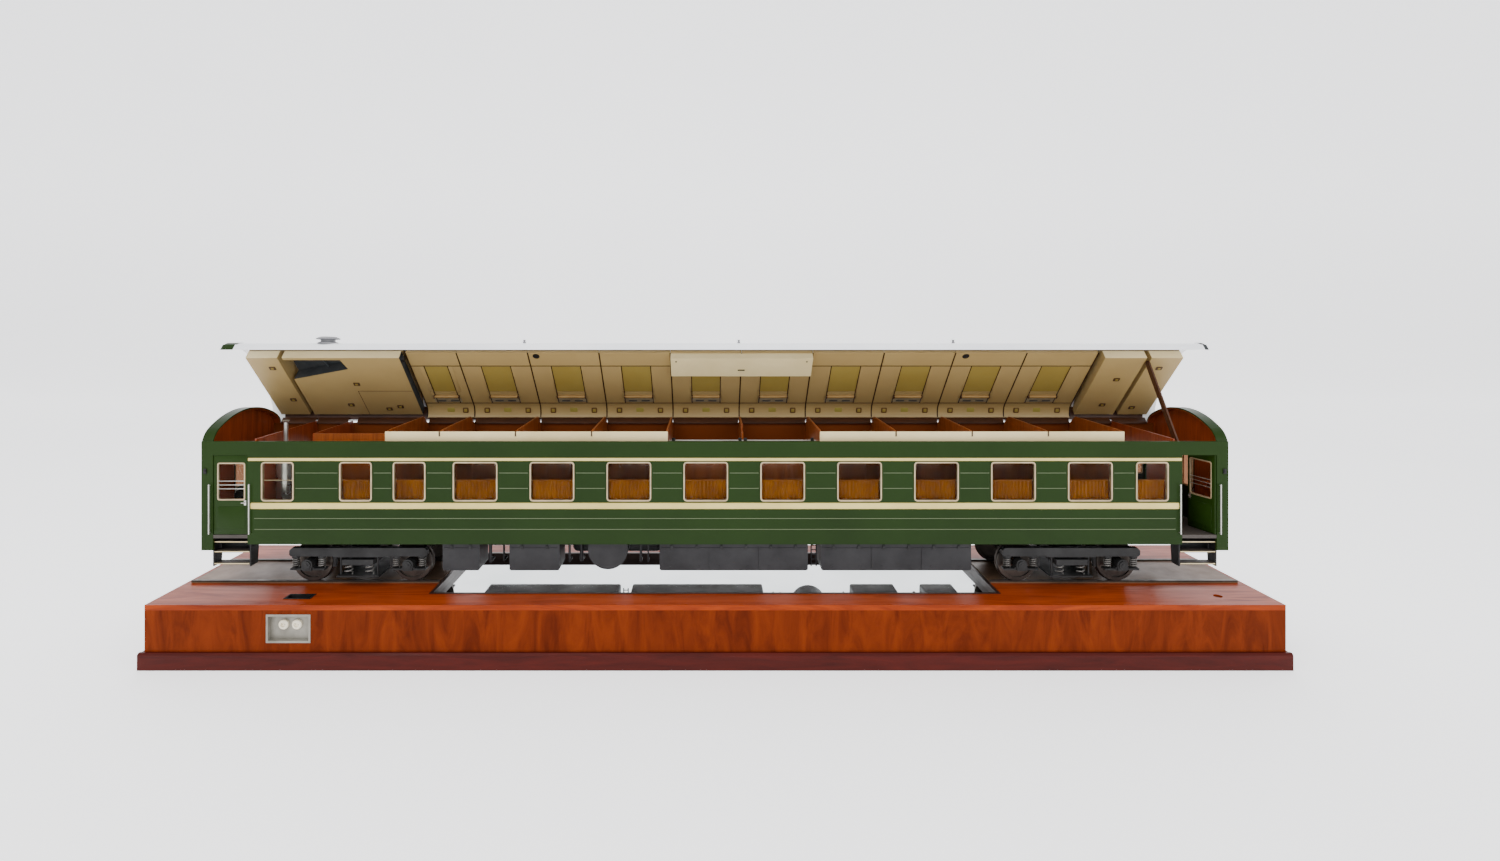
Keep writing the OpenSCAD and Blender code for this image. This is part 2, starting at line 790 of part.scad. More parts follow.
module curtains() color("goldenrod") {
    for (i = [1 : len(windows) - 1]) translate([windows[i][0], 0, 0]) curtain(windows[i][1]);
    mirror([0, 1, 0]) for (i = [3 : 2 + bay_n]) translate([windows[i][0], 0, 0]) curtain(windows[i][1]);
}

// Corridor wall with its compartment doorways
corridor_back = corridor_y;
corridor_front = corridor_y - inner_t;
loft_low_h = eave_h - loft_drop;

module corridor_wall() color("sienna") {
    along_y(corridor_front, corridor_back) difference() {
        union() {
            translate([bays_left, up(floor_h)]) square([bays_right - bays_left, loft_low_h - floor_h]);
            translate([service_wall_x, up(floor_h)])
                square([bays_left - service_wall_x - joint_gap, eave_h + service_top_w - floor_h]);
        }
        for (b = bay_spans) translate([(b[0] + b[1]) / 2 - cabin_door_w / 2, up(floor_h) - 1])
            square([cabin_door_w, cabin_door_high + 1]);
    }
}

// Fixed parts of the luggage loft over the corridor: its floor and its front panel
board_in = inner_t - 1;
shelf_z = up(loft_low_h) + board_in;

module loft_panels() color("cornsilk") for (s = [[bays_left, open_left], [open_right, bays_right]]) {
    block(s, [loft_y, loft_y + board_in], [shelf_z + joint_gap, eave_z + loft_w]);
    block(s, [loft_y, corridor_back], [up(loft_low_h), shelf_z]);
}

// Partitions between the compartments, each with a divider over the corridor where the loft is fixed
module partition_profile(notched) {
    top_z = eave_z + partition_w;
    notch_y = ceiling_y + loft_box_w + 6;
    notch_z = eave_z + service_top_w;
    polygon(concat(
        [[corridor_back, up(floor_h)], [inner_y, up(floor_h)], [inner_y, eave_z - 2], [cove_y - 2, top_z]],
        notched ? [[notch_y, top_z], [notch_y, notch_z], [corridor_back, notch_z]] : [[corridor_back, top_z]]
    ));
}

module divider_profile() {
    top_z = eave_z + partition_w;
    near_y = loft_y + board_in + joint_gap;
    far_y = corridor_back - joint_gap;
    polygon([
        [far_y, shelf_z], [far_y, top_z], [ceiling_y, top_z], [near_y, eave_z + loft_w], [near_y, shelf_z]
    ]);
}

// Middle plane of each partition, moved so that the fixed loft and the ends stay whole
function partition_x(i) = (i < 0 ? bays_left : bay_x(i))
    + (i < 0 || i == open_bay + open_n ? inner_t / 2 : i == bay_n || i == open_bay ? -inner_t / 2 : 0);

module partitions() color("sienna") for (i = [-1 : bay_n]) {
    x = [partition_x(i) - inner_t / 2, partition_x(i) + inner_t / 2];
    middle = i > open_bay && i < open_bay + open_n;
    along_x(x[0], x[1]) partition_profile(middle);
    if (!middle) along_x(x[0], x[1]) divider_profile();
}

module compartment_doors() color("chocolate") for (b = bay_spans) translate([(b[0] + b[1]) / 2, 0, 0]) {
    hw = cabin_door_w / 2 - close_gap;
    block(
        [-hw, hw],
        [corridor_front + 0.5, corridor_back - 0.5],
        [up(floor_h), up(floor_h + cabin_door_high) - close_gap]
    );
    block(
        [hw - 8, hw - 5],
        [corridor_front - 1.5, corridor_front + 0.6],
        [up(floor_h + 84), up(floor_h + 104)]
    );
}

// Cross walls of the vestibules, and of the washroom at the left end
module vestibule_walls() color("brown") {
    top_h = eave_h + service_top_w;
    both_ends() along_x(vest_x - inner_t, vest_x) difference() {
        translate([-inner_y, up(floor_h)]) square([2 * inner_y, top_h - floor_h]);
        translate([-end_door_w / 2, up(floor_h) - 1]) square([end_door_w, end_door_h - floor_h + 1]);
    }
    along_x(service_wall_x - inner_t, service_wall_x)
        translate([corridor_front, up(floor_h)]) square([inner_y - corridor_front, top_h - floor_h]);
}

// Berths and tables of the compartments
berth_y = [corridor_back + 20, inner_y - 9];
table_y = [inner_y - 36, inner_y];
table_hw = 14;
table_z = [up(floor_h + 66), up(floor_h + 68.5)];

module berth_benches() color("saddlebrown") for (i = [0 : bay_n - 1]) {
    left = partition_x(i) + inner_t / 2;
    right = partition_x(i + 1) - inner_t / 2;
    mid = (left + right) / 2;
    for (x = [[left, left + berth_w], [right - berth_w, right]]) {
        block(x, berth_y, [up(floor_h), up(floor_h + bench_high)]);
        block(x, berth_y, [up(floor_h + upper_high), up(floor_h + upper_high) + upper_t]);
    }
    block([mid - table_hw, mid + table_hw], table_y, table_z);
}

// A cushion with a crowned top and drawn-in sides
cushion_bow = 1.2;
upper_t = 4;

function drawn_in(l, n) = [for (k = [0 : n - 1])
    [l * (k / n - 0.5), cushion_bow * (1 - pow(2 * k / n - 1, 2))]];

module cushion(w, l, t) {
    crown = t * 0.35;
    long = drawn_in(l, 4);
    short = drawn_in(w, 2);
    top = [for (k = [-2 : 2]) [k * w / 4, t - crown * k * k / 4]];
    intersection() {
        linear_extrude(t) polygon(concat(
            [for (p = short) [p[0], -l / 2 + p[1]]],
            [for (p = long) [w / 2 - p[1], p[0]]],
            [for (p = short) [-p[0], l / 2 - p[1]]],
            [for (p = long) [-w / 2 + p[1], -p[0]]]
        ));
        along_y(-l / 2, l / 2) polygon(concat([[w / 2, 0], [-w / 2, 0]], top));
    }
}

module berth_cushions() color("firebrick") for (i = [0 : bay_n - 1]) {
    left = partition_x(i) + inner_t / 2 + berth_w / 2;
    right = partition_x(i + 1) - inner_t / 2 - berth_w / 2;
    for (x = [left, right]) translate([x, (berth_y[0] + berth_y[1]) / 2, 0]) {
        w = berth_w - 4;
        l = berth_y[1] - berth_y[0] - 4;
        translate([0, 0, up(floor_h + bench_high)]) cushion(w, l, cushion_t);
        translate([0, 0, up(floor_h + upper_high) + upper_t]) cushion(w, l, mattress_t);
    }
}

// Boiler with its flue, which rises through the open corner of the left service ceiling
flue_pos = [-vest_x + inner_t + boiler_r + 1, corridor_y + 4];
boiler_h = eave_h - 40;

module boiler_flue() color("gainsboro") translate([flue_pos[0], flue_pos[1], 0]) {
    translate([0, 0, up(floor_h)]) cylinder(r = boiler_r, h = boiler_h - floor_h);
    translate([0, 0, up(boiler_h) - eps]) cylinder(r1 = boiler_r, r2 = flue_r + 2, h = 14);
    translate([0, 0, up(boiler_h)]) cylinder(r = flue_r, h = eave_h + flue_w - boiler_h - 5);
    translate([0, 0, eave_z + flue_w - 5 - eps]) cylinder(r1 = flue_r, r2 = flue_r + 3, h = 5);
}

// Entrance steps
tread_heights = [59, 87, 110];
tread_t = 3;

module step_stringers() color("black") both_ends() both_sides()
    for (x = [door_in - 4, door_out + 1]) along_x(x, x + 3) polygon([
        [inner_y - 1, up(floor_h - floor_t)], [inner_y - 38, up(floor_h - floor_t)],
        [inner_y - 30, up(tread_heights[0] - 4)], [inner_y - 1, up(tread_heights[0] - 4)]
    ]);

module step_treads() color("slategray") both_ends() both_sides() for (h = tread_heights)
    block([door_in - 1, door_out + 1], [inner_y - 27, inner_y - 1], [up(h), up(h) + tread_t]);

// Handrails beside the doorways, and the guard rail of the open luggage loft
module grab_rail(x) {
    out_y = half_w + 6;
    translate([x, out_y, up(floor_h + 3)]) cylinder(r = 1.5, h = 116);
    for (h = [floor_h + 6, floor_h + 116]) rod_y(x, half_w, out_y, up(h), 1.2);
}

module handrails() color("silver") {
    both_ends() both_sides() {
        grab_rail(door_in - 6);
        grab_rail(door_out + 6);
    }
    rail_y = (corridor_front + corridor_back) / 2;
    rod_x(open_left, open_right, rail_y, eave_z - 12, 1.3);
    for (i = [0 : 4])
        translate([open_left + 6 + (open_right - open_left - 12) * i / 4, rail_y, up(loft_low_h)])
        cylinder(r = 1.1, h = loft_drop - 12);
}

module gangway_frames() color("black") both_ends() along_x(half_l, half_l + 6) difference() {
    translate([-end_door_w / 2 - 12, up(floor_h - 28)]) square([end_door_w + 24, end_door_h - floor_h + 40]);
    end_opening(2);
}

module end_lamps() color("black") both_ends() both_sides() {
    block([half_l - 13, half_l - 6], [half_w, half_w + 3], [up(273), up(284)]);
    rod_y(half_l - 9.5, half_w + 3, half_w + 4.5, up(278.5), 2.6);
}

// Hinges along the far eave: knuckle, bracket and pin on the wall, lugs on the roof
lug_l = 8;
function hinge_x(i) = -half_l + 160 + (body_l - 320) * i / (hinge_n - 1);

module roof_hinges() color("silver") for (i = [0 : hinge_n - 1]) translate([hinge_x(i), 0, 0]) {
    hk = knuckle_l / 2;
    pin_hl = hk + lug_l;
    rod_x(-hk, hk, hinge_y, hinge_z, knuckle_r);
    rod_x(-pin_hl, pin_hl, hinge_y, hinge_z, hinge_pin_r);
    block([-hk, hk], [half_w, hinge_y], [hinge_z - knuckle_r * 0.8, hinge_z - 0.3]);
    block([-hk, hk], [half_w, half_w + 1.5], [eave_z - 22, hinge_z - 0.6]);
}

module hinge_lug() {
    difference() {
        union() {
            rod_x(0, lug_l - 0.4, hinge_y, hinge_z, knuckle_r);
            block([0, lug_l - 0.4], [half_w + 0.4, hinge_y], [hinge_z + 0.4, hinge_z + knuckle_r * 0.8]);
        }
        rod_x(-1, lug_l + 1, hinge_y, hinge_z, hinge_pin_r + pin_fit);
    }
}

// Roof shell of six long sheets with fine seams between them, and what hangs under it
seam_shares = [-0.77, -0.39, 0, 0.39, 0.77];

module roof_shell() color("whitesmoke") roof_pose() {
    translate([0, 0, roof_z]) along_x(-roof_l / 2, roof_l / 2) difference() {
        arch(0);
        arch_hollow(roof_t);
        for (s = seam_shares) translate([s * roof_hw - joint_gap / 2, 0]) square([joint_gap, roof_rise + 1]);
    }
    for (i = [0 : hinge_n - 1], m = [0, 1]) translate([hinge_x(i), 0, 0]) mirror([m, 0, 0])
        translate([knuckle_l / 2 + 0.4, 0, 0]) hinge_lug();
}

service_panels = [
    [-panel_end, -stay_x - stay_slot / 2], [-stay_x + stay_slot / 2, bays_left - service_panel_gap],
    [bays_right + service_panel_gap, stay_x - stay_slot / 2], [stay_x + stay_slot / 2, panel_end]
];

// Underside of the service ceilings, carried up to the shell
module service_ceiling() {
    intersection() {
        translate([0, roof_z]) arch(roof_t + close_gap);
        translate([ceiling_y, eave_z + service_w]) square([inner_y - 12 - ceiling_y, 2 * roof_rise]);
    }
}

// A compartment ceiling: a flat sheet with a cove down to the far eave, and two webs up to the shell
cove_end = 68;
cove_steps = 6;
function cove_line(r) = [for (i = [0 : cove_steps]) let (a = cove_end * i / cove_steps)
    [cove_y + r * sin(a), eave_z + bay_w - cove_r + r * cos(a)]];

module bay_ceiling() {
    low = cove_line(cove_r);
    high = cove_line(cove_r + ceiling_t);
    sheet_z = eave_z + bay_w;
    polygon(concat(
        [[ceiling_y, sheet_z + ceiling_t], [ceiling_y, sheet_z]],
        low,
        [for (i = [cove_steps : -1 : 0]) high[i]]
    ));
    intersection() {
        translate([0, roof_z]) arch(roof_t + close_gap);
        for (y = [ceiling_y, cove_y - 2 * ceiling_t]) translate([y, sheet_z + 1])
            square([ceiling_t, roof_rise]);
    }
}

module ceiling_panels() color("wheat") roof_pose() {
    difference() {
        for (p = service_panels) along_x(p[0], p[1]) service_ceiling();
        boiler_corner();
    }
    for (b = bay_spans) difference() {
        along_x(b[0] + panel_gap / 2, b[1] - panel_gap / 2) bay_ceiling();
        translate([(b[0] + b[1]) / 2, 0, eave_z + bay_w]) block(
            [-diffuser_hw, diffuser_hw], [diffuser_y[0], lamp_y[1]], [-1, ceiling_t + 1]
        );
        block(
            [b[0] - 1, b[1] + 1],
            [diffuser_y[0] - 3, diffuser_y[0] - 2],
            [eave_z + bay_w - 1, eave_z + bay_w + 1]
        );
    }
}

// The open corner of the left service ceiling, round the boiler's flue, and the joint of the boards beside it
corner_l = 142;
corner_skew = 10;
corner_in = [8, 44, 85];

module boiler_corner() {
    left_x = service_panels[1][0];
    right_x = left_x + corner_l;
    translate([0, 0, eave_z + service_w - 1]) linear_extrude(roof_rise) {
        polygon([
            [left_x - 1, ceiling_y + corner_in[0]], [right_x, ceiling_y + corner_in[0]],
            [right_x + corner_skew, ceiling_y + corner_in[1]], [left_x - 1, ceiling_y + corner_in[2]]
        ]);
        translate([right_x, ceiling_y - 1]) square([joint_gap, 2 * half_w]);
    }
}

module ceiling_diffusers() color("darkkhaki") roof_pose() for (b = bay_spans)
    translate([(b[0] + b[1]) / 2, 0, eave_z + bay_w]) {
        block(
            [-diffuser_hw + close_gap, diffuser_hw - close_gap],
            [diffuser_y[0] + close_gap, diffuser_y[1]],
            [0.5, ceiling_t]
        );
        block([-diffuser_hw - ledge, diffuser_hw + ledge], diffuser_y, [ceiling_t, ceiling_t + 1.5]);
    }

module ceiling_lamps() color("gainsboro") roof_pose() for (b = bay_spans)
    translate([(b[0] + b[1]) / 2, 0, eave_z + bay_w]) {
        hl = diffuser_hw - close_gap;
        mid = (lamp_y[0] + lamp_y[1]) / 2;
        block([-hl, hl], [lamp_y[0], lamp_y[1] - close_gap], [0.5, ceiling_t]);
        block([-diffuser_hw - ledge, diffuser_hw + ledge], lamp_y, [ceiling_t, ceiling_t + 1.5]);
        rod_x(-hl + 6, hl - 6, mid, 0.5, 2.6);
    }

// Box of the luggage loft that opens with the roof
module loft_box() color("cornsilk") roof_pose() {
    x = [open_left + 1, open_right - 1];
    y = [ceiling_y + 2, ceiling_y + 2 + loft_box_w];
    z = [eave_z + service_w, eave_z + bay_w];
    wall = 2.5;
    difference() {
        block(x, y, z);
        block([x[0] + wall, x[1] - wall], [y[0] + wall, y[1] - wall], [z[0] + wall, z[1] + 1]);
    }
}

// Ventilators and studs on the roof, each cut to the curve that it stands on
module on_roof(x, angle) {
    translate([x, -side_y - side_r * sin(angle), roof_z + side_z + side_r * cos(angle)])
        rotate([angle, 0, 0]) children();
}

module roof_ventilators() color("white") roof_pose() difference() {
    union() {
        for (m = [0, 1]) rotate([0, 0, m * 180]) on_roof(-half_l + 240, 38) rotate_extrude() polygon([
            [0, -9], [24, -9], [24, 1], [17, 3], [17, 8], [28, 9], [28, 11], [20, 15], [0, 16]
        ]);
        for (m = [0, 1], x = [-470, 60, 590]) mirror([0, m, 0]) on_roof(x, 42) rotate_extrude() polygon([
            [0, -2], [4, -2], [4, 2], [2.5, 3], [2.5, 5], [3.5, 6], [2, 8], [0, 8]
        ]);
    }
    translate([0, 0, roof_z]) along_x(-half_l, half_l) arch(-joint_gap);
}

// Stay, drawn at the angle at which it holds the roof
module roof_stay() color("saddlebrown") {
    r = stay_w / 2;
    translate([stay_x - stay_t / 2, stay_foot[0], stay_foot[1]]) rotate([stay_angle, 0, 0]) difference() {
        union() {
            rotate([0, 90, 0]) cylinder(r = r, h = stay_t);
            translate([0, 0, -r]) cube([stay_t, stay_l - r, stay_w]);
            translate([0, stay_l - r, 0]) rotate([0, 90, 0]) cylinder(r = r, h = stay_t);
        }
        translate([-1, 0, 0]) rotate([0, 90, 0]) cylinder(r = stay_pin_r + pin_fit, h = stay_t + 2);
    }
}

// A door leaf with its pins at the origin, reaching along -X, inner face towards +Y
module leaf(l, z0, z1, bars) {
    win_wide = l - door_win_in;
    mid_x = -l / 2 - 1;
    difference() {
        union() {
            block([-l, 0], [-leaf_t / 2, leaf_t / 2], [z0, z1]);
            translate([0, 0, z0]) cylinder(r = leaf_end, h = z1 - z0);
            translate([0, 0, z0 - pin_l + 1]) cylinder(r = pin_r, h = z1 - z0 + 2 * pin_l - 2);
            translate([mid_x, 0, win_mid_z]) along_y(-leaf_t / 2 - 1, leaf_t / 2 + 1)
                rounded(win_wide, win_high - 4, inner_r);
        }
        translate([mid_x, 0, win_mid_z]) along_y(-leaf_t, leaf_t)
            rounded(win_wide - 2 * frame_band, win_high - 4 - 2 * frame_band, inner_r - frame_band / 2);
    }
    translate([mid_x, 0, win_mid_z]) along_y(-pane_t / 2, pane_t / 2) rounded(
        win_wide - 2 * frame_band - 2 * seat_gap, win_high - 4 - 2 * frame_band - 2 * seat_gap,
        inner_r - frame_band / 2 - seat_gap
    );
    if (bars) for (k = [-1, 0, 1])
        rod_x(
            mid_x - win_wide / 2 + 1, mid_x + win_wide / 2 - 1,
            -leaf_t / 2 - 0.4, win_mid_z - 8 + 9 * k, 0.8
        );
    handle_z = up(waist_h + waist_high);
    rod_y(-l + 6, -leaf_t / 2 - 3.5, leaf_t / 2 + 3.5, handle_z, 1);
    for (s = [-1, 1]) rod_x(-l + 5, -l + 14, s * (leaf_t / 2 + 3.5), handle_z, 1);
}

module side_leaf() leaf(side_leaf_l, up(door_low_h), up(door_top_h) - door_gap, true);
module end_leaf() leaf(end_leaf_l, up(floor_h) + door_gap, up(end_door_h) - door_gap, false);

module side_door(open) {
    translate([side_pin_x, -half_w + wall_t / 2, 0]) rotate([0, 0, -open]) side_leaf();
}

module end_door() {
    translate([half_l - wall_t / 2, end_pin_y, 0]) rotate([0, 0, 90]) end_leaf();
}

module near_left_door() color("darkgreen") mirror([1, 0, 0]) side_door(0);
module near_right_door() color("darkgreen") side_door(near_open);
module far_left_door() color("darkgreen") rotate([0, 0, 180]) side_door(0);
module far_right_door() color("darkgreen") mirror([0, 1, 0]) side_door(0);
module left_end_door() color("darkgreen") mirror([1, 0, 0]) end_door();
module right_end_door() color("darkgreen") end_door();

// Boxes under the floor, the same on both sides when the coach is turned round
gear_y = [-half_w + gear_in, -half_w + gear_in + gear_deep];
gear_z = [up(gear_low_h), up(gear_h)];

module both_turns() {
    for (a = [0, 180]) rotate([0, 0, a]) children();
}

module gear_box(x, joints) {
    r = 5;
    difference() {
        translate([(x[0] + x[1]) / 2, 0, 0]) along_y(gear_y[0], gear_y[1]) union() {
            translate([0, (gear_z[0] + gear_z[1]) / 2 + r])
                square([x[1] - x[0], gear_h - gear_low_h - 2 * r], center = true);
            translate([0, (gear_z[0] + gear_z[1]) / 2]) rounded(x[1] - x[0], gear_h - gear_low_h, r);
        }
        for (j = joints)
            block([j - 0.8, j + 0.8], [gear_y[0] - 1, gear_y[0] + 1.5], [gear_z[0] + 4, gear_z[1] - 4]);
        block([x[0] + 4, x[1] - 4], [gear_y[0] - 1, gear_y[0] + 1.2], [gear_z[1] - 9, gear_z[1] - 7.5]);
    }
}

module equipment_boxes() color("#3a3c3c") both_turns() {
    for (x = plain_boxes) gear_box(x, []);
    round_r = (round_box[1] - round_box[0]) / 2;
    mid_x = (round_box[0] + round_box[1]) / 2;
    along_y(gear_y[0] + 4, gear_y[1]) translate([mid_x, 0]) intersection() {
        translate([0, gear_z[1] - 14]) circle(round_r);
        translate([-round_r, gear_z[0]]) square([2 * round_r, gear_z[1] - gear_z[0]]);
    }
}

module battery_boxes() color("#3a3c3c") both_turns() for (x = battery_spans) {
    third = (x[1] - x[0]) / 3;
    gear_box(x, [x[0] + third, x[1] - third]);
    for (k = [0 : 2], s = [-1, 1])
        rod_y(x[0] + third * (k + 0.5) + s * 34, gear_y[0] - 1.5, gear_y[0] + 0.5, gear_z[0] + 9, 2.2);
}

// Air tanks on hangers, beside the centre sill
module air_tanks() color("#303232") both_turns() for (x = [-480, 130]) {
    y = 34;
    z = up(gear_h - 30);
    l = 220;
    translate([x, y, z]) rotate([0, 90, 0]) rotate_extrude() polygon([
        [0, 0], [tank_r * 0.6, 1.5], [tank_r * 0.9, 6], [tank_r, 12],
        [tank_r, l - 12], [tank_r * 0.9, l - 6], [tank_r * 0.6, l - 1.5], [0, l]
    ]);
    for (o = [40, l - 40])
        block([x + o - 3, x + o + 3], [y - 5, y + 5], [z + tank_r - 2, up(floor_h - floor_t)]);
}

// Bogies
module both_bogies() {
    for (s = [-1, 1]) translate([s * bogie_gap / 2, 0, 0]) children();
}

// Outline of a side beam: deep over the bolster, drawn up over the axles
module beam_outline() {
    hl = wheelbase / 2 + spring_off + 13;
    mid = 52;
    polygon([
        [-hl, beam_low_h + 4], [-hl, beam_h - 6], [-hl + 6, beam_h], [hl - 6, beam_h], [hl, beam_h - 6],
        [hl, beam_low_h + 4], [hl - 4, beam_low_h], [mid + 10, beam_low_h], [mid, beam_low_h - 2],
        [-mid, beam_low_h - 2], [-mid - 10, beam_low_h], [-hl + 4, beam_low_h]
    ]);
}

module brake_hanger() {
    x = wheelbase / 2 - wheel_d / 2;
    y = [wheel_in + 4.6, wheel_in + wheel_wide - 0.6];
    block([34, x - 4], [y[0] + 2, y[1] - 2], [up(beam_low_h + 3), up(beam_low_h + 9)]);
    block([x - 9, x - 4], [y[0] + 2, y[1] - 2], [up(axle_h - 6), up(beam_low_h + 9)]);
    difference() {
        block([x - 7, x + 5], y, [up(axle_h - 14), up(axle_h + 12)]);
        rod_y(wheelbase / 2, 0, 200, up(axle_h), wheel_d / 2 + 0.9);
    }
}

module bogie_frames() color("#2e3030") both_bogies() {
    both_sides() along_y(box_y - beam_t / 2, box_y + beam_t / 2) translate([0, rail_z]) beam_outline();
    for (s = [-1, 1]) block([s * 34 - 6, s * 34 + 6], [-box_y, box_y], [up(beam_low_h + 1), up(beam_h - 3)]);
    for (s = [-1, 1], o = [-1, 1]) both_sides() translate([s * wheelbase / 2 + o * spring_off, box_y, 0]) {
        translate([0, 0, up(beam_low_h - cup_h)]) cylinder(r = spring_r + wire_d / 2 + 0.8, h = cup_h + 1);
        translate([0, 0, up(wing_h + 6)])
            cylinder(r = spring_r - wire_d / 2 - 0.8, h = beam_low_h - wing_h - 5);
    }
    both_ends() both_sides() brake_hanger();
}

// Bolster on its springs, with the spring plank that hangs from the side beams on four links
module bogie_bolsters() color("#343636") both_bogies() {
    block(
        [-bolster_x - 12, bolster_x + 12],
        [-box_y - 11, box_y + 11],
        [up(bolster_h - bolster_t), up(bolster_h)]
    );
    block([-22, 22], [-60, 60], [up(bolster_h) - 1, up(pad_h) - 8]);
    translate([0, 0, up(pad_h) - 9]) cylinder(r = 20, h = 9);
    block([-link_x - 6, link_x + 6], [-box_y - 11, box_y + 11], [up(plank_h - plank_t), up(plank_h)]);
    both_ends() both_sides() translate([link_x, box_y, up(plank_h) - 1])
        cylinder(r = 2.4, h = beam_low_h - 2 - plank_h + 1);
}

// An axle box with its bore, cover and spring wings
module axle_box() {
    half = box_l / 2;
    wing_hl = spring_off + 10;
    difference() {
        union() {
            along_y(box_y - half, box_y + half) translate([0, up(axle_h)]) {
                circle(13);
                translate([-11, -14]) square([22, 22]);
            }
            along_y(box_y - 10, box_y + 10) polygon([
                [-wing_hl, up(wing_h - wing_t)], [wing_hl, up(wing_h - wing_t)], [wing_hl, up(wing_h)],
                [16, up(wing_h)], [10, up(wing_h + 9)],
                [-10, up(wing_h + 9)], [-16, up(wing_h)], [-wing_hl, up(wing_h)]
            ]);
            rod_y(0, box_y + half - 1, box_y + half + 3, up(axle_h), 9);
            rod_y(0, box_y + half - 1, box_y + half + 4.5, up(axle_h), 4);
        }
        rod_y(0, box_y - half - 1, journal_end + 0.6, up(axle_h), journal_r + journal_fit);
    }
}

module axle_boxes() color("#262828") both_bogies() both_ends() both_sides()
    translate([wheelbase / 2, 0, 0]) axle_box();

// A spring as one tube: straight ends square to its seats, and turns on a helix between them
wire_sides = 5;
turn_steps = 8;

function spring_path(d, n, h) = let (steps = n * turn_steps) concat(
    [[0, 0]],
    [for (i = [0 : steps]) [360 * i / turn_steps, d + (h - 2 * d) * i / steps]],
    [[360 * n, h]]
);
function path_point(p, r) = [r * cos(p[0]), r * sin(p[0]), p[1]];
function unit(v) = v / norm(v);
function path_ahead(path, r, i) = let (
    a = path_point(path[max(i - 1, 0)], r),
    b = path_point(path[i], r),
    c = path_point(path[min(i + 1, len(path) - 1)], r),
    out = [cos(path[i][0]), sin(path[i][0]), 0],
    raw = (i > 0 ? unit(b - a) : [0, 0, 0]) + (i < len(path) - 1 ? unit(c - b) : [0, 0, 0])
) unit(raw - out * (raw * out));

module spring(r, d, n, h) {
    path = spring_path(d, n, h);
    last = len(path) - 1;
    points = [for (i = [0 : last], k = [0 : wire_sides - 1])
        let (
            out = [cos(path[i][0]), sin(path[i][0]), 0],
            side = cross(path_ahead(path, r, i), out),
            turn = 360 * k / wire_sides
        )
        path_point(path[i], r) + d / 2 * (cos(turn) * out + sin(turn) * side)
    ];
    walls = [for (i = [0 : last - 1], k = [0 : wire_sides - 1], f = [0, 1])
        let (
            a = i * wire_sides + k,
            b = i * wire_sides + (k + 1) % wire_sides,
            c = a + wire_sides,
            e = b + wire_sides
        )
        f == 0 ? [a, c, b] : [b, c, e]
    ];
    top = last * wire_sides;
    caps = [for (k = [1 : wire_sides - 2], f = [0, 1])
        f == 0 ? [0, k, k + 1] : [top, top + k + 1, top + k]
    ];
    polyhedron(points, concat(walls, caps));
}

function least_gap(r, d, n, h) = let (path = spring_path(d, n, h)) min([
    for (i = [0 : len(path) - 1], j = [i + turn_steps / 2 : len(path) - 1])
        norm(path_point(path[i], r) - path_point(path[j], r))
]) - d;

axle_spring_high = beam_low_h - cup_h - wing_h;
bolster_spring_high = bolster_h - bolster_t - plank_h;
echo(axle_spring_gap = least_gap(spring_r, wire_d, spring_n, axle_spring_high));
echo(bolster_spring_gap = least_gap(bolster_spring_r, bolster_wire_d, bolster_spring_n, bolster_spring_high));

module axle_springs() color("#4a4c4c") both_bogies() for (s = [-1, 1], o = [-1, 1], side = [-1, 1])
    translate([s * wheelbase / 2 + o * spring_off, side * box_y, up(wing_h)])
        spring(spring_r, wire_d, spring_n, axle_spring_high);

module bolster_springs() color("#4a4c4c") both_bogies() for (o = [-1, 1], side = [-1, 1])
    translate([o * bolster_x, side * box_y, up(plank_h)])
        spring(bolster_spring_r, bolster_wire_d, bolster_spring_n, bolster_spring_high);

// A wheelset: axle, journals and two flanged wheels, turned as one profile
module wheelset() {
    r = wheel_d / 2;
    out = wheel_in + wheel_wide;
    rim = r - 8;
    hub = axle_r + 5;
    web_in = wheel_in + 4;
    web_out = wheel_in + 9;
    half = [
        [axle_r, wheel_in - 3], [hub, wheel_in - 3], [hub, web_in], [rim, web_in], [rim, wheel_in],
        [r + flange, wheel_in + 1], [r + flange, wheel_in + 2.2], [r, wheel_in + 3.8], [r - 0.4, out],
        [rim, out], [rim, web_out], [hub, web_out], [hub, out + 2], [journal_r, out + 2],
        [journal_r, journal_end], [0, journal_end]
    ];
    mirrored = [for (i = [len(half) - 1 : -1 : 0]) [half[i][0], -half[i][1]]];
    translate([0, 0, up(axle_h)]) rotate([90, 0, 0]) rotate_extrude() polygon(concat(half, mirrored));
}

module wheelset_at(i) color("#6a6660") translate([
    (i < 2 ? -1 : 1) * bogie_gap / 2 + (i % 2 == 0 ? -1 : 1) * wheelbase / 2, 0, 0
]) wheelset();
module wheelset_1() wheelset_at(0);
module wheelset_2() wheelset_at(1);
module wheelset_3() wheelset_at(2);
module wheelset_4() wheelset_at(3);

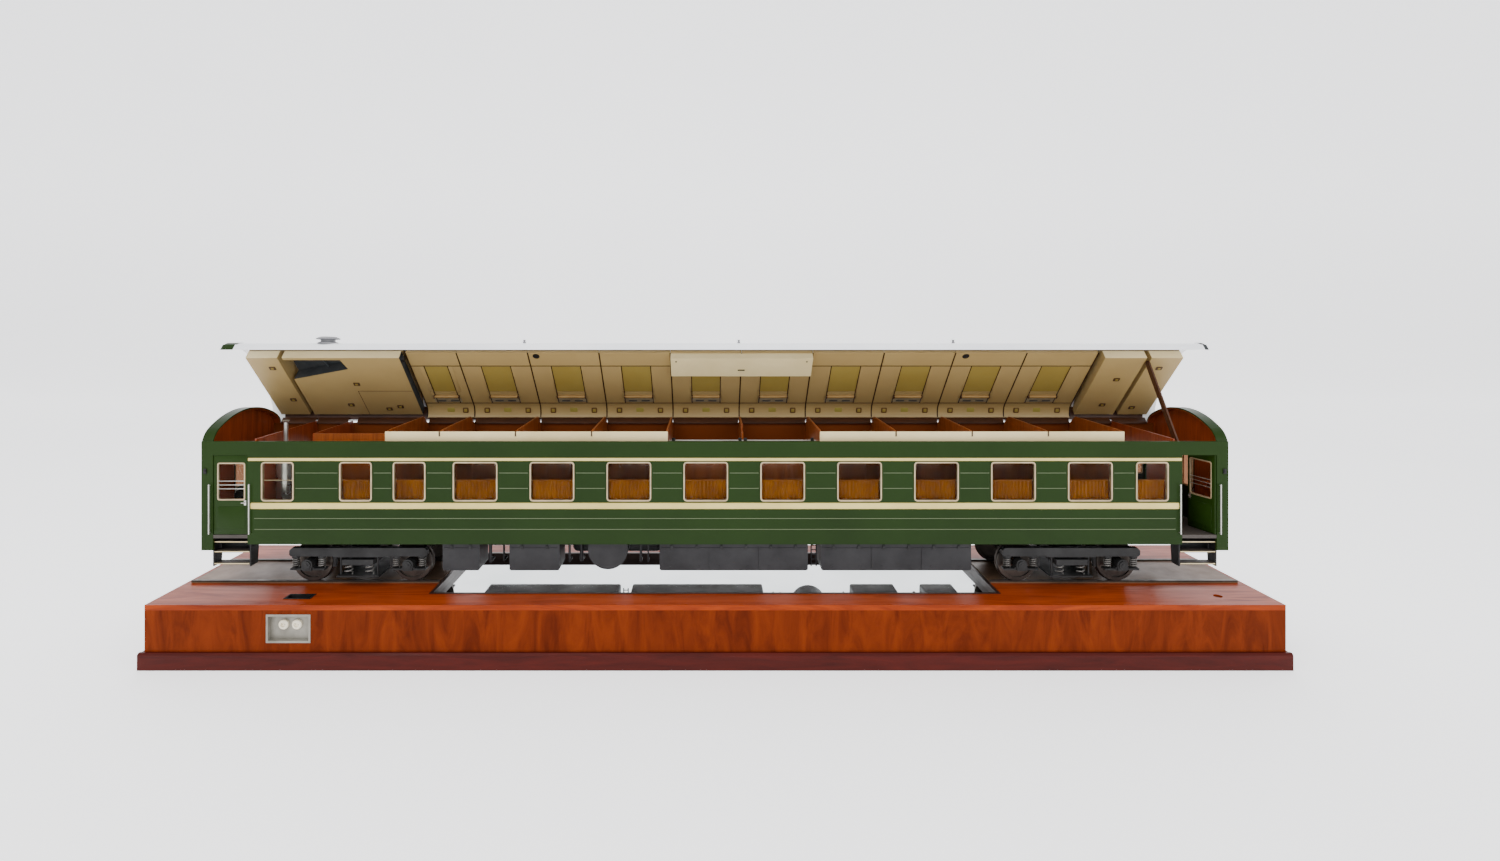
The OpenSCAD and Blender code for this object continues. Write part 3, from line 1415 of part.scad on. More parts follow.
plinth_top();
plinth_boards();
plinth_skirting();
pit_tray();
pit_mirror();
track_plates();
rails();
power_tray();
power_sockets();
slot_insert();
near_side_wall();
far_side_wall();
left_end_wall();
right_end_wall();
end_linings();
floor_pan();
waist_mouldings();
cornice_strips();
window_frames();
window_panes();
curtains();
corridor_wall();
loft_panels();
partitions();
compartment_doors();
vestibule_walls();
berth_benches();
berth_cushions();
boiler_flue();
step_stringers();
step_treads();
handrails();
gangway_frames();
end_lamps();
roof_hinges();
equipment_boxes();
battery_boxes();
air_tanks();
bogie_frames();
bogie_bolsters();
axle_boxes();
axle_springs();
bolster_springs();
wheelset_1();
wheelset_2();
wheelset_3();
wheelset_4();
roof_shell();
ceiling_panels();
ceiling_diffusers();
ceiling_lamps();
loft_box();
roof_ventilators();
roof_stay();
near_left_door();
near_right_door();
far_left_door();
far_right_door();
left_end_door();
right_end_door();
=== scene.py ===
"""Visual model of a model passenger coach with an open roof, on its display plinth."""
import logging
import math
from dataclasses import dataclass
from enum import Enum
from functools import partial
from typing import Callable, Sequence

import bpy
from mathutils import Matrix, Vector


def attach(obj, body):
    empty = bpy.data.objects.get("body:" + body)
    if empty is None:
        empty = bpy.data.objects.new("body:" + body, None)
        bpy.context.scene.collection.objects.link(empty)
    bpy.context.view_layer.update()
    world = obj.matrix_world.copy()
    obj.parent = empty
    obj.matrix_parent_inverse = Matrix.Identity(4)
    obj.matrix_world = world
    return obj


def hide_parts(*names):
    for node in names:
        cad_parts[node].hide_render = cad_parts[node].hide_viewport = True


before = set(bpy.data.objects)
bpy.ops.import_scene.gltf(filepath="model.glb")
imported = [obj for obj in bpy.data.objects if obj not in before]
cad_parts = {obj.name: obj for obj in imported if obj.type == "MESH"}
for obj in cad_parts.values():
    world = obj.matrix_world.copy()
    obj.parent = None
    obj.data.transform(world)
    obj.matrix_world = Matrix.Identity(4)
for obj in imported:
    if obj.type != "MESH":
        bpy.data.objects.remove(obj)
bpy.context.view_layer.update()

LOG = logging.getLogger("coach")
MM = 0.001
SIDES = (-1, 1)
Colour = tuple[float, float, float]
Point = tuple[float, float, float]
Span = tuple[float, float]
Line = Callable[[float], Span]
Piece = bpy.types.Object
Node = bpy.types.Node
Socket = bpy.types.NodeSocket


def srgb(red: int, green: int, blue: int) -> Colour:
    """Turn a screen colour into a linear one.

    Args:
        red: Red from 0 to 255.
        green: Green from 0 to 255.
        blue: Blue from 0 to 255.

    Returns:
        The linear colour.
    """
    parts = [value / 255 for value in (red, green, blue)]
    lin = [p / 12.92 if p <= 0.04045 else ((p + 0.055) / 1.055) ** 2.4 for p in parts]
    return lin[0], lin[1], lin[2]


class Body(Enum):
    """Bodies of the frame that new pieces ride on, besides the doors."""

    COACH = "coach"
    ROOF = "roof"


class Axis(Enum):
    """Axes, as indices into a point."""

    X = 0
    Y = 1
    Z = 2


@dataclass(frozen=True)
class CoachFrame:
    """Driving planes of the coach in millimetres, as in the frame."""

    half_l: float = 1197.5
    rail: float = 149.5
    hinge_y: float = 159.0
    hinge_z: float = 498.0
    roof_open: float = 44.0
    bay_first: float = -648.4
    bay_pitch: float = 179.2
    bay_count: int = 9
    service_bay: float = 128.0
    partition: float = 4.0
    end_window: float = 178.0
    service_window: float = 61.0
    small_window: float = 76.0
    big_window: float = 104.0

    def up(self, height: float) -> float:
        """Height above the rail head as a height above the floor."""
        return self.rail + height

    def bays(self) -> list[Span]:
        """Left and right end of each ceiling bay, from the left."""
        lines = [self.bay_first + i * self.bay_pitch for i in range(self.bay_count)]
        spans = [(x, x + self.bay_pitch) for x in lines]
        return [(self.bay_first - self.service_bay, self.bay_first), *spans]

    def partition_faces(self, i: int) -> Span:
        """Left and right face of a partition, from the left. Three of them stand beside their line."""
        shift = {3: -0.5, 5: 0.5, 9: -0.5}.get(i, 0.0) * self.partition
        middle = self.bay_first + i * self.bay_pitch + shift
        return middle - self.partition / 2, middle + self.partition / 2

    def windows(self) -> list[Span]:
        """Middle and frame width of each window, from the left."""
        left, end = self.bay_first - self.service_bay, self.half_l - self.end_window
        small = [-end, left - self.service_window, self.bay_first - self.service_bay / 2]
        big = [self.bay_first + (i + 0.5) * self.bay_pitch for i in range(self.bay_count)]
        out = [(x, self.small_window) for x in small] + [(x, self.big_window) for x in big]
        return [*out, (end, self.small_window)]

    def roof_matrix(self) -> Matrix:
        """Turn of the closed roof to its open place, in metres."""
        pivot = Vector((0, self.hinge_y * MM, self.hinge_z * MM))
        turn = Matrix.Rotation(math.radians(-self.roof_open), 4, "X")
        return Matrix.Translation(pivot) @ turn @ Matrix.Translation(-pivot)


COACH = CoachFrame()


class Graph:
    """A small helper that adds and links nodes in one tree."""

    def __init__(self, tree: bpy.types.NodeTree) -> None:
        """Keep the tree that nodes go into."""
        self.tree = tree

    def feed(self, end: Socket, value: object) -> None:
        """Link a socket to an input, or set the input's own value."""
        if isinstance(value, Socket):
            self.tree.links.new(value, end)
        else:
            end.default_value = value

    def add(self, kind: str, *feeds: object, **values: object) -> Node:
        """Add a node.

        Args:
            kind: Node type, without its prefix.
            feeds: Sockets or values for the first inputs, in order.
            values: Properties of the node, or its inputs by name with spaces as underscores.

        Returns:
            The new node.
        """
        node = self.tree.nodes.new(f"ShaderNode{kind}")
        for key, value in values.items():
            if hasattr(node, key):
                setattr(node, key, value)
            else:
                self.feed(node.inputs[key.replace("_", " ")], value)
        for end, value in zip(node.inputs, feeds):
            self.feed(end, value)
        return node

    def mix(self, mask: Socket, first: object, second: object) -> Socket:
        """Mix two colours, each a value or a socket, by a mask."""
        node = self.add("Mix", mask, data_type="RGBA")
        ends = [socket for socket in node.inputs if socket.type == "RGBA"]
        self.feed(ends[0], first)
        self.feed(ends[1], second)
        return next(socket for socket in node.outputs if socket.type == "RGBA")

    def noise(self, sink: Socket, place: Socket, low: float, high: float, **values: object) -> None:
        """Add a noise, stretch the part between two levels to 0 and 1, and link it to a group's output.

        Args:
            sink: The group's output.
            place: Coordinates.
            low: Level that becomes 0.
            high: Level that becomes 1.
            values: Inputs of the noise.
        """
        cells = self.add("TexNoise", place, **values)
        spread = self.add("MapRange", cells.outputs["Fac"], From_Min=low, From_Max=high)
        self.feed(sink, spread.outputs["Result"])


def new_group(name: str, inputs: dict[str, object], outputs: Sequence[str]) -> tuple[Graph, Node, Node]:
    """Start a shader node group.

    Args:
        name: Name of the group.
        inputs: Name and default of each input. A number makes a float, anything else a vector.
        outputs: Names of the float outputs.

    Returns:
        The group's graph, its input node and its output node.
    """
    tree = bpy.data.node_groups.new(name, "ShaderNodeTree")
    for label, default in inputs.items():
        kind = "NodeSocketFloat" if isinstance(default, float) else "NodeSocketVector"
        socket = tree.interface.new_socket(label, in_out="INPUT", socket_type=kind)
        if default is not None:
            socket.default_value = default
    for label in outputs:
        tree.interface.new_socket(label, in_out="OUTPUT", socket_type="NodeSocketFloat")
    return Graph(tree), tree.nodes.new("NodeGroupInput"), tree.nodes.new("NodeGroupOutput")


def patina_group() -> bpy.types.NodeTree:
    """Build the group for slow patches and fine dust on a surface.

    Returns:
        The node group, with outputs Patch and Dust.
    """
    inputs = {"Place": None, "Patch Scale": 6.0, "Dust Scale": 300.0}
    graph, source, sink = new_group("patina", inputs, ["Patch", "Dust"])
    for name, detail, low, high in (("Patch", 4.0, 0.35, 0.68), ("Dust", 6.0, 0.42, 0.62)):
        scale = source.outputs[f"{name} Scale"]
        graph.noise(
            sink.inputs[name], source.outputs["Place"], low, high, Scale=scale, Detail=detail, Roughness=0.62
        )
    return graph.tree


def grain_group() -> bpy.types.NodeTree:
    """Build the group for wood grain along one axis.

    Returns:
        The node group, with outputs Figure and Pore.
    """
    inputs = {"Place": None, "Stretch": (1.0, 9.0, 9.0), "Scale": 5.0}
    graph, source, sink = new_group("grain", inputs, ["Figure", "Pore"])
    place, stretch, scale = (source.outputs[name] for name in inputs)
    drawn = graph.add("VectorMath", place, stretch, operation="MULTIPLY").outputs["Vector"]
    figure = dict(Scale=scale, Detail=5.0, Roughness=0.6, Distortion=1.4)
    graph.noise(sink.inputs["Figure"], drawn, 0.3, 0.7, **figure)
    graph.noise(sink.inputs["Pore"], drawn, 0.5, 0.72, Scale=90.0, Detail=2.0)
    return graph.tree


def weave_group() -> bpy.types.NodeTree:
    """Build the group for a plain weave.

    Returns:
        The node group, with output Thread.
    """
    graph, source, sink = new_group("weave", {"Place": None, "Scale": 260.0}, ["Thread"])
    place, scale = source.outputs["Place"], source.outputs["Scale"]
    waves = [
        graph.add("TexWave", place, Scale=scale, bands_direction=direction, Distortion=0.6, Detail=1.0)
        for direction in ("X", "Z")
    ]
    thread = graph.add("Math", *(wave.outputs["Fac"] for wave in waves), operation="MULTIPLY")
    graph.feed(sink.inputs["Thread"], thread.outputs["Value"])
    return graph.tree


PATINA = patina_group()
GRAIN = grain_group()
WEAVE = weave_group()


@dataclass(frozen=True)
class Finish:
    """A painted, moulded or metal finish with patches, dust and a fine bump."""

    label: str
    tone: Colour
    worn: Colour
    rough: float = 0.4
    rough_spread: float = 0.12
    metal: float = 0.0
    coat: float = 0.0
    patch: float = 7.0
    dust: float = 260.0
    bump: float = 0.03
    gloss: float = 0.4

    def material(self) -> bpy.types.Material:
        """Return the finish's material, made on first use."""
        name = f"finish_{self.label}"
        known = bpy.data.materials.get(name)
        if known:
            return known
        made = bpy.data.materials.new(name)
        made.use_nodes = True
        graph = Graph(made.node_tree)
        shader = made.node_tree.nodes["Principled BSDF"]
        for socket, value in self.constants().items():
            shader.inputs[socket].default_value = value
        self.dress(graph, shader, graph.add("TexCoord").outputs["Object"])
        return made

    def constants(self) -> dict[str, float]:
        """Values that stay on the shader's own sockets."""
        return {
            "Metallic": self.metal, "Coat Weight": self.coat, "Coat Roughness": 0.08,
            "Specular IOR Level": self.gloss,
        }

    def dress(self, graph: Graph, shader: Node, place: Socket) -> None:
        """Link colour, roughness and bump.

        Args:
            graph: Nodes of the material.
            shader: The Principled shader.
            place: Object coordinates.
        """
        patina = self.patina(graph, place)
        self.surface(graph, shader, patina.outputs["Patch"], patina.outputs["Dust"])

    def patina(self, graph: Graph, place: Socket) -> Node:
        """Add the finish's patches and dust."""
        return graph.add("Group", node_tree=PATINA, Place=place, Patch_Scale=self.patch, Dust_Scale=self.dust)

    def surface(self, graph: Graph, shader: Node, mask: Socket, height: Socket) -> None:
        """Mix the two tones and spread the roughness by a mask, and raise a bump by a height."""
        tone = graph.mix(mask, (*self.tone, 1), (*self.worn, 1))
        half = self.rough_spread / 2
        rough = graph.add("MapRange", mask, To_Min=self.rough - half, To_Max=self.rough + half)
        bump = graph.add("Bump", Height=height, Strength=self.bump, Distance=0.0004)
        graph.feed(shader.inputs["Base Color"], tone)
        graph.feed(shader.inputs["Roughness"], rough.outputs["Result"])
        graph.feed(shader.inputs["Normal"], bump.outputs["Normal"])


@dataclass(frozen=True)
class WoodFinish(Finish):
    """A varnished wood with figure and pores along one axis."""

    stretch: Point = (1.0, 9.0, 9.0)
    figure: float = 5.0

    def dress(self, graph: Graph, shader: Node, place: Socket) -> None:
        """Link the grain to colour, roughness and bump."""
        grain = graph.add("Group", node_tree=GRAIN, Place=place, Stretch=self.stretch, Scale=self.figure)
        self.surface(graph, shader, grain.outputs["Figure"], grain.outputs["Pore"])


@dataclass(frozen=True)
class ClothFinish(Finish):
    """A woven cloth with a soft sheen."""

    weave: float = 260.0

    def constants(self) -> dict[str, float]:
        """Values of the finish, with a sheen."""
        return {**super().constants(), "Sheen Weight": 0.1}

    def dress(self, graph: Graph, shader: Node, place: Socket) -> None:
        """Link the patches to colour and roughness, and the weave to the bump."""
        thread = graph.add("Group", node_tree=WEAVE, Place=place, Scale=self.weave)
        self.surface(graph, shader, self.patina(graph, place).outputs["Patch"], thread.outputs["Thread"])


@dataclass(frozen=True)
class LinedFinish(Finish):
    """A painted wall with another colour on its inner face and a painted highlight on the crests of its ribs
    outside.
    """

    lining: Colour = (0.1, 0.03, 0.01)
    inner_face: float = 147.3
    # Pale colour painted on the rib crests beyond rib_face, standing for a highlight.
    rib_highlight: Colour = (0.11, 0.14, 0.075)
    rib_face: float = 153.85

    def dress(self, graph: Graph, shader: Node, place: Socket) -> None:
        """Link the paint, put the lining over it inside the coach, and paint a highlight on the rib crests.
        """
        super().dress(graph, shader, place)
        paint = shader.inputs["Base Color"].links[0].from_socket
        split = graph.add("SeparateXYZ", place)
        out = graph.add("Math", split.outputs["Y"], operation="ABSOLUTE").outputs["Value"]
        # Past rib_face only the rib crests stand out; mixing them to the pale colour paints a highlight.
        faces = (("LESS_THAN", self.inner_face, self.lining), ("GREATER_THAN", self.rib_face, self.rib_highlight))
        for test, limit, tone in faces:
            mask = graph.add("Math", out, limit * MM, operation=test)
            paint = graph.mix(mask.outputs["Value"], paint, (*tone, 1))
        graph.feed(shader.inputs["Base Color"], paint)


@dataclass(frozen=True)
class GlassFinish(Finish):
    """A clear pane with faint smears."""

    def constants(self) -> dict[str, float]:
        """Values of the finish, with clear glass."""
        return {**super().constants(), "Transmission Weight": 1.0, "IOR": 1.1}


VARNISH = WoodFinish(
    "plinth_varnish", srgb(154, 58, 6), srgb(104, 31, 3), 0.34, 0.12, coat=0.03, figure=4.2,
    bump=0.05, gloss=0.1,
)
FRONT_VARNISH = WoodFinish(
    "board_varnish", srgb(114, 43, 7), srgb(78, 24, 4), 0.38, 0.14,
    stretch=(5.5, 5.5, 1.2), figure=4.6, bump=0.05, gloss=0.05,
)
SKIRTING = WoodFinish(
    "skirting_stain", srgb(74, 20, 13), srgb(54, 13, 9), 0.38, 0.12, coat=0.04, bump=0.05, gloss=0.1
)
ORANGE_WOOD = WoodFinish(
    "cabin_wood", srgb(146, 74, 24), srgb(108, 50, 15), 0.36, 0.12, coat=0.15,
    stretch=(9.0, 9.0, 1.0), figure=9.0, gloss=0.3,
)
LINING = WoodFinish(
    "end_lining_wood", srgb(146, 64, 26), srgb(108, 44, 18), 0.38, 0.12, coat=0.15,
    stretch=(9.0, 9.0, 1.0), figure=8.0, gloss=0.3,
)
STAY_WOOD = WoodFinish("stay_wood", srgb(70, 38, 18), srgb(52, 28, 14), 0.45, 0.1, figure=9.0, gloss=0.3)
PAINT = dict(
    tone=srgb(28, 48, 11), worn=srgb(24, 42, 9), rough=0.34, rough_spread=0.06, coat=0.02,
    patch=3.0, bump=0.006,
)
GREEN = Finish("coach_green", gloss=0.1, **PAINT)
LINED_GREEN = LinedFinish("lined_wall_green", gloss=0.1, lining=srgb(104, 50, 20), **PAINT)
CREAM_LINE = Finish("cream_line", srgb(216, 196, 118), srgb(200, 178, 102), 0.35, coat=0.15)
CREAM_PANEL = Finish("cream_panel", srgb(222, 204, 156), srgb(208, 188, 138), 0.5, patch=5.0)
CEILING = Finish("ceiling_cream", srgb(166, 141, 92), srgb(157, 132, 84), 0.42, patch=4.0, gloss=0.3)
TUBE = Finish("lamp_tube", srgb(158, 124, 70), srgb(146, 112, 60), 0.4, patch=30.0)
LAMP_PLATE = Finish("lamp_plate", srgb(150, 138, 112), srgb(132, 120, 96), 0.5, patch=40.0, gloss=0.2)
SEAM = Finish("brown_seam", srgb(46, 25, 6), srgb(34, 18, 4), 0.5, gloss=0.2)
COVE_TRIM = Finish("cove_trim", srgb(72, 46, 18), srgb(56, 34, 12), 0.5)
OLIVE = Finish(
    "diffuser_olive", srgb(148, 127, 62), srgb(143, 121, 57), 0.55, 0.05, patch=12.0, bump=0.01, gloss=0.2
)
WHITE = Finish("roof_white", srgb(250, 250, 252), srgb(234, 236, 240), 0.3, coat=0.25, patch=3.0)
SILVER = Finish("bright_metal", srgb(206, 204, 198), srgb(176, 174, 168), 0.3, 0.14, metal=0.85)
FRAME_METAL = Finish(
    "frame_metal", srgb(186, 166, 132), srgb(160, 142, 112), 0.36, 0.14, metal=0.5, patch=30.0
)
TRAY_GREY = Finish("inlet_grey", srgb(146, 142, 132), srgb(124, 120, 110), 0.45, metal=0.3, patch=24.0)
STEEL = Finish("turned_steel", srgb(84, 78, 72), srgb(58, 53, 50), 0.42, 0.16, metal=0.8, patch=18.0)
UNDERFRAME = Finish(
    "underframe_grey", srgb(37, 36, 38), srgb(27, 26, 28), 0.5, 0.16, patch=14.0, bump=0.06, gloss=0.3
)
BOGIE = Finish("bogie_grey", srgb(37, 37, 37), srgb(25, 25, 25), 0.48, 0.18, patch=18.0, bump=0.06, gloss=0.3)
SPRING = Finish("spring_grey", srgb(124, 122, 118), srgb(92, 90, 86), 0.34, 0.14, metal=0.4, patch=40.0)
BLACK = Finish("black_fitting", srgb(16, 16, 17), srgb(26, 25, 24), 0.5, patch=20.0, gloss=0.3)
TRACK = Finish(
    "track_grey", srgb(116, 90, 68), srgb(94, 71, 54), 0.4, 0.16, metal=0.05, patch=9.0, gloss=0.15
)
TRAY = Finish("tray_brown", srgb(58, 36, 28), srgb(40, 25, 20), 0.4, metal=0.4)
MIRROR = Finish(
    "mirror_silver", srgb(232, 236, 236), srgb(214, 220, 220), 0.03, 0.03, metal=1.0, patch=5.0, bump=0.0
)
CERAMIC = Finish("glazed_white", srgb(232, 222, 198), srgb(216, 204, 176), 0.22, coat=0.4, patch=30.0)
FLOORING = Finish("floor_grey", srgb(64, 57, 52), srgb(50, 44, 40), 0.6, patch=10.0)
SEAT = ClothFinish("berth_cover", srgb(92, 24, 16), srgb(72, 17, 12), 0.7, patch=20.0, bump=0.2)
CURTAIN = ClothFinish(
    "curtain_gold", srgb(132, 74, 5), srgb(104, 54, 3), 0.7, patch=30.0, bump=0.2, gloss=0.05, weave=420.0
)
GLASS = GlassFinish(
    "window_glass", srgb(238, 240, 236), srgb(228, 230, 226), 0.04, 0.03, patch=9.0, bump=0.0, gloss=0.1
)
SMOKED = GlassFinish(
    "smoked_glass", srgb(122, 84, 62), srgb(112, 76, 56), 0.06, 0.03, patch=9.0, bump=0.0, gloss=0.1
)
DOOR_LINING = Finish("door_lining", srgb(34, 38, 30), srgb(26, 30, 23), 0.42, patch=12.0, gloss=0.2)
VENT_GREY = Finish("vent_grey", srgb(138, 138, 140), srgb(112, 112, 115), 0.4, metal=0.3, patch=20.0)
BROWN_BUTTON = Finish("brown_button", srgb(92, 62, 22), srgb(72, 48, 16), 0.45, patch=60.0)
GREEN_PLATE = Finish("pale_green_plate", srgb(150, 138, 66), srgb(136, 124, 56), 0.4, patch=40.0)
TEAL = Finish("slate_louvre", srgb(60, 66, 66), srgb(46, 52, 54), 0.4, patch=40.0)
SLATE = Finish("slate_niche", srgb(56, 58, 58), srgb(40, 42, 44), 0.5, patch=16.0, gloss=0.25)
NODE_FINISH: dict[str, Finish] = {
    node: finish
    for finish, nodes in (
        (VARNISH, "plinth_top"), (FRONT_VARNISH, "plinth_boards"), (SKIRTING, "plinth_skirting"),
        (TRAY, "pit_tray"), (MIRROR, "pit_mirror"), (TRACK, "track_plates"),
        (STEEL, "rails wheelset_1 wheelset_2 wheelset_3 wheelset_4"), (TRAY_GREY, "power_tray"),
        (CERAMIC, "power_sockets"), (BLACK, "slot_insert step_stringers gangway_frames end_lamps"),
        (LINED_GREEN, "near_side_wall far_side_wall"), (GREEN, "left_end_wall right_end_wall"),
        (LINING, "end_linings vestibule_walls"), (FLOORING, "floor_pan step_treads"),
        (CREAM_LINE, "waist_mouldings cornice_strips"), (FRAME_METAL, "window_frames"),
        (GLASS, "window_panes"), (ORANGE_WOOD, "corridor_wall partitions compartment_doors berth_benches"),
        (CREAM_PANEL, "loft_panels loft_box"), (SILVER, "boiler_flue handrails roof_hinges"),
        (UNDERFRAME, "equipment_boxes battery_boxes air_tanks"),
        (BOGIE, "bogie_frames bogie_bolsters axle_boxes"), (WHITE, "roof_shell"),
        (CEILING, "ceiling_panels ceiling_lamps"), (OLIVE, "ceiling_diffusers"),
        (VENT_GREY, "roof_ventilators"), (STAY_WOOD, "roof_stay"),
    )
    for node in nodes.split()
}


SELECT_ALL = partial(bpy.ops.mesh.select_all, action="SELECT")
SELECT_NONE = partial(bpy.ops.mesh.select_all, action="DESELECT")
FACES_OUT = partial(bpy.ops.mesh.normals_make_consistent, inside=False)


def clear() -> None:
    """Leave edit mode and deselect everything."""
    if bpy.context.mode != "OBJECT":
        bpy.ops.object.mode_set(mode="OBJECT")
    bpy.ops.object.select_all(action="DESELECT")


def only(piece: Piece) -> None:
    """Select one piece and make it active."""
    clear()
    piece.select_set(True)
    bpy.context.view_layer.objects.active = piece


def settle(piece: Piece) -> None:
    """Apply a piece's place, turn and scale to its mesh."""
    only(piece)
    bpy.ops.object.transform_apply(location=True, rotation=True, scale=True)


def primitive(add: Callable[..., object], scale: Point = (1, 1, 1), **values: object) -> Piece:
    """Add a primitive, scale it, and apply its place, turn and scale.

    Args:
        add: Operator that adds it.
        scale: Its scale.
        values: Values of the operator.

    Returns:
        The piece.
    """
    clear()
    add(**values)
    piece = bpy.context.object
    piece.scale = scale
    settle(piece)
    return piece


def edit(piece: Piece, *moves: Callable[[], object]) -> None:
    """Run moves on a piece's mesh in edit mode.

    Args:
        piece: The piece to change.
        moves: Operators with their values, in order.
    """
    only(piece)
    bpy.ops.object.mode_set(mode="EDIT")
    for move in moves:
        move()
    bpy.ops.object.mode_set(mode="OBJECT")


def modifier(piece: Piece, kind: str, **values: object) -> None:
    """Add a modifier and apply it.

    Args:
        piece: The piece to change.
        kind: Modifier type.
        values: Settings of the modifier.
    """
    only(piece)
    made = piece.modifiers.new(kind.lower(), kind)
    for key, value in values.items():
        setattr(made, key, value)
    bpy.ops.object.modifier_apply(modifier=made.name)


def ease(piece: Piece, width: float = 0.4, **values: float) -> None:
    """Ease the sharp edges of a piece by a width."""
    modifier(piece, "BEVEL", width=width * MM, segments=2, limit_method="ANGLE", **values)


def grown(span: Span, by: float) -> Span:
    """A span with a margin added at both ends."""
    return span[0] - by, span[1] + by


def around(middle: float, half: float) -> Span:
    """The span round a middle."""
    return middle - half, middle + half


def block(xs: Span, ys: Span, zs: Span, bevel: float = 0.4) -> Piece:
    """Model a block with eased edges.

    Args:
        xs: Span in X.
        ys: Span in Y.
        zs: Span in Z.
        bevel: Width of the eased edges.

    Returns:
        The piece.
    """
    middle = [(a + b) / 2 * MM for a, b in (xs, ys, zs)]
    scale = [(b - a) * MM for a, b in (xs, ys, zs)]
    piece = primitive(bpy.ops.mesh.primitive_cube_add, scale, size=1, location=middle)
    if bevel:
        ease(piece, bevel)
    return piece


def rounded(xs: Span, ys: Span, zs: Span, radius: float, axis: Axis) -> Piece:
    """Model a block whose edges along one axis are rounded.

    Args:
        xs: Span in X.
        ys: Span in Y.
        zs: Span in Z.
        radius: Radius of the rounded edges.
        axis: Axis that the rounded edges run along.

    Returns:
        The piece.
    """
    piece = block(xs, ys, zs, 0)
    edit(piece, partial(bpy.ops.mesh.select_mode, type="EDGE"), SELECT_NONE)
    for edge in piece.data.edges:
        a, b = (piece.data.vertices[i].co for i in edge.vertices)
        along = [abs(v) for v in (b - a)]
        edge.select = along[axis.value] > 0.9 * sum(along)
    edit(piece, partial(bpy.ops.mesh.bevel, offset=radius * MM, segments=6, affect="EDGES"))
    return piece


def rod(start: Point, end: Point, radius: float, sides: int = 16) -> Piece:
    """Model a rod with eased ends.

    Args:
        start: Middle of one end.
        end: Middle of the other end.
        radius: Radius of the rod.
        sides: Number of sides.

    Returns:
        The piece.
    """
    a, b = Vector(start) * MM, Vector(end) * MM
    piece = primitive(
        bpy.ops.mesh.primitive_cylinder_add, vertices=sides, radius=radius * MM, depth=(b - a).length,
        location=(a + b) / 2, rotation=(b - a).to_track_quat("Z", "Y").to_euler(),
    )
    ease(piece, radius * 0.25, angle_limit=1.0)
    return piece


def cut(piece: Piece, cutter: Piece) -> None:
    """Cut one piece out of another, and remove the cutter."""
    modifier(piece, "BOOLEAN", object=cutter, operation="DIFFERENCE", solver="EXACT")
    bpy.data.objects.remove(cutter)


def join(parts: Sequence[Piece]) -> Piece:
    """Join parts into the first of them."""
    clear()
    for part in parts:
        part.select_set(True)
    bpy.context.view_layer.objects.active = parts[0]
    if len(parts) > 1:
        bpy.ops.object.join()
    return parts[0]


def copy(piece: Piece, move: Point) -> Piece:
    """Copy a piece with its own mesh, and move the copy."""
    only(piece)
    bpy.ops.object.duplicate(linked=False)
    made = bpy.context.object
    made.location = [v * MM for v in move]
    settle(made)
    return made


def turn(piece: Piece, matrix: Matrix) -> Piece:
    """Turn or move a piece's mesh by a matrix, and keep its faces outwards."""
    piece.data.transform(matrix)
    if matrix.determinant() < 0:
        edit(piece, SELECT_ALL, bpy.ops.mesh.flip_normals)
    return piece


def paint(piece: Piece, finish: Finish) -> None:
    """Give a piece one finish."""
    piece.data.materials.clear()
    piece.data.materials.append(finish.material())


def hand_over(
    parts: Sequence[Piece], name: str, finish: Finish,
    body: str = Body.COACH.value, angle: float = 40,
) -> Piece:
    """Join parts into a finished piece, and give it its name, finish and body.

    Args:
        parts: What the piece is joined from.
        name: Name of the piece.
        finish: Its finish.
        body: The body that it rides on.
        angle: Edges flatter than this are shaded smooth, in degrees.

    Returns:
        The piece.
    """
    piece = join(parts)
    piece.name = name
    only(piece)
    bpy.ops.object.shade_smooth_by_angle(angle=math.radians(angle))
    paint(piece, finish)
    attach(piece, body)
    LOG.info("%s rides on %s", piece.name, body)
    return piece


@dataclass(frozen=True)
class Dressing:
    """Finishes of the frame's own nodes."""

    finishes: dict[str, Finish]

    def build(self) -> None:
        """Assign each node's finish."""
        for name, finish in self.finishes.items():
            paint(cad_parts[name], finish)


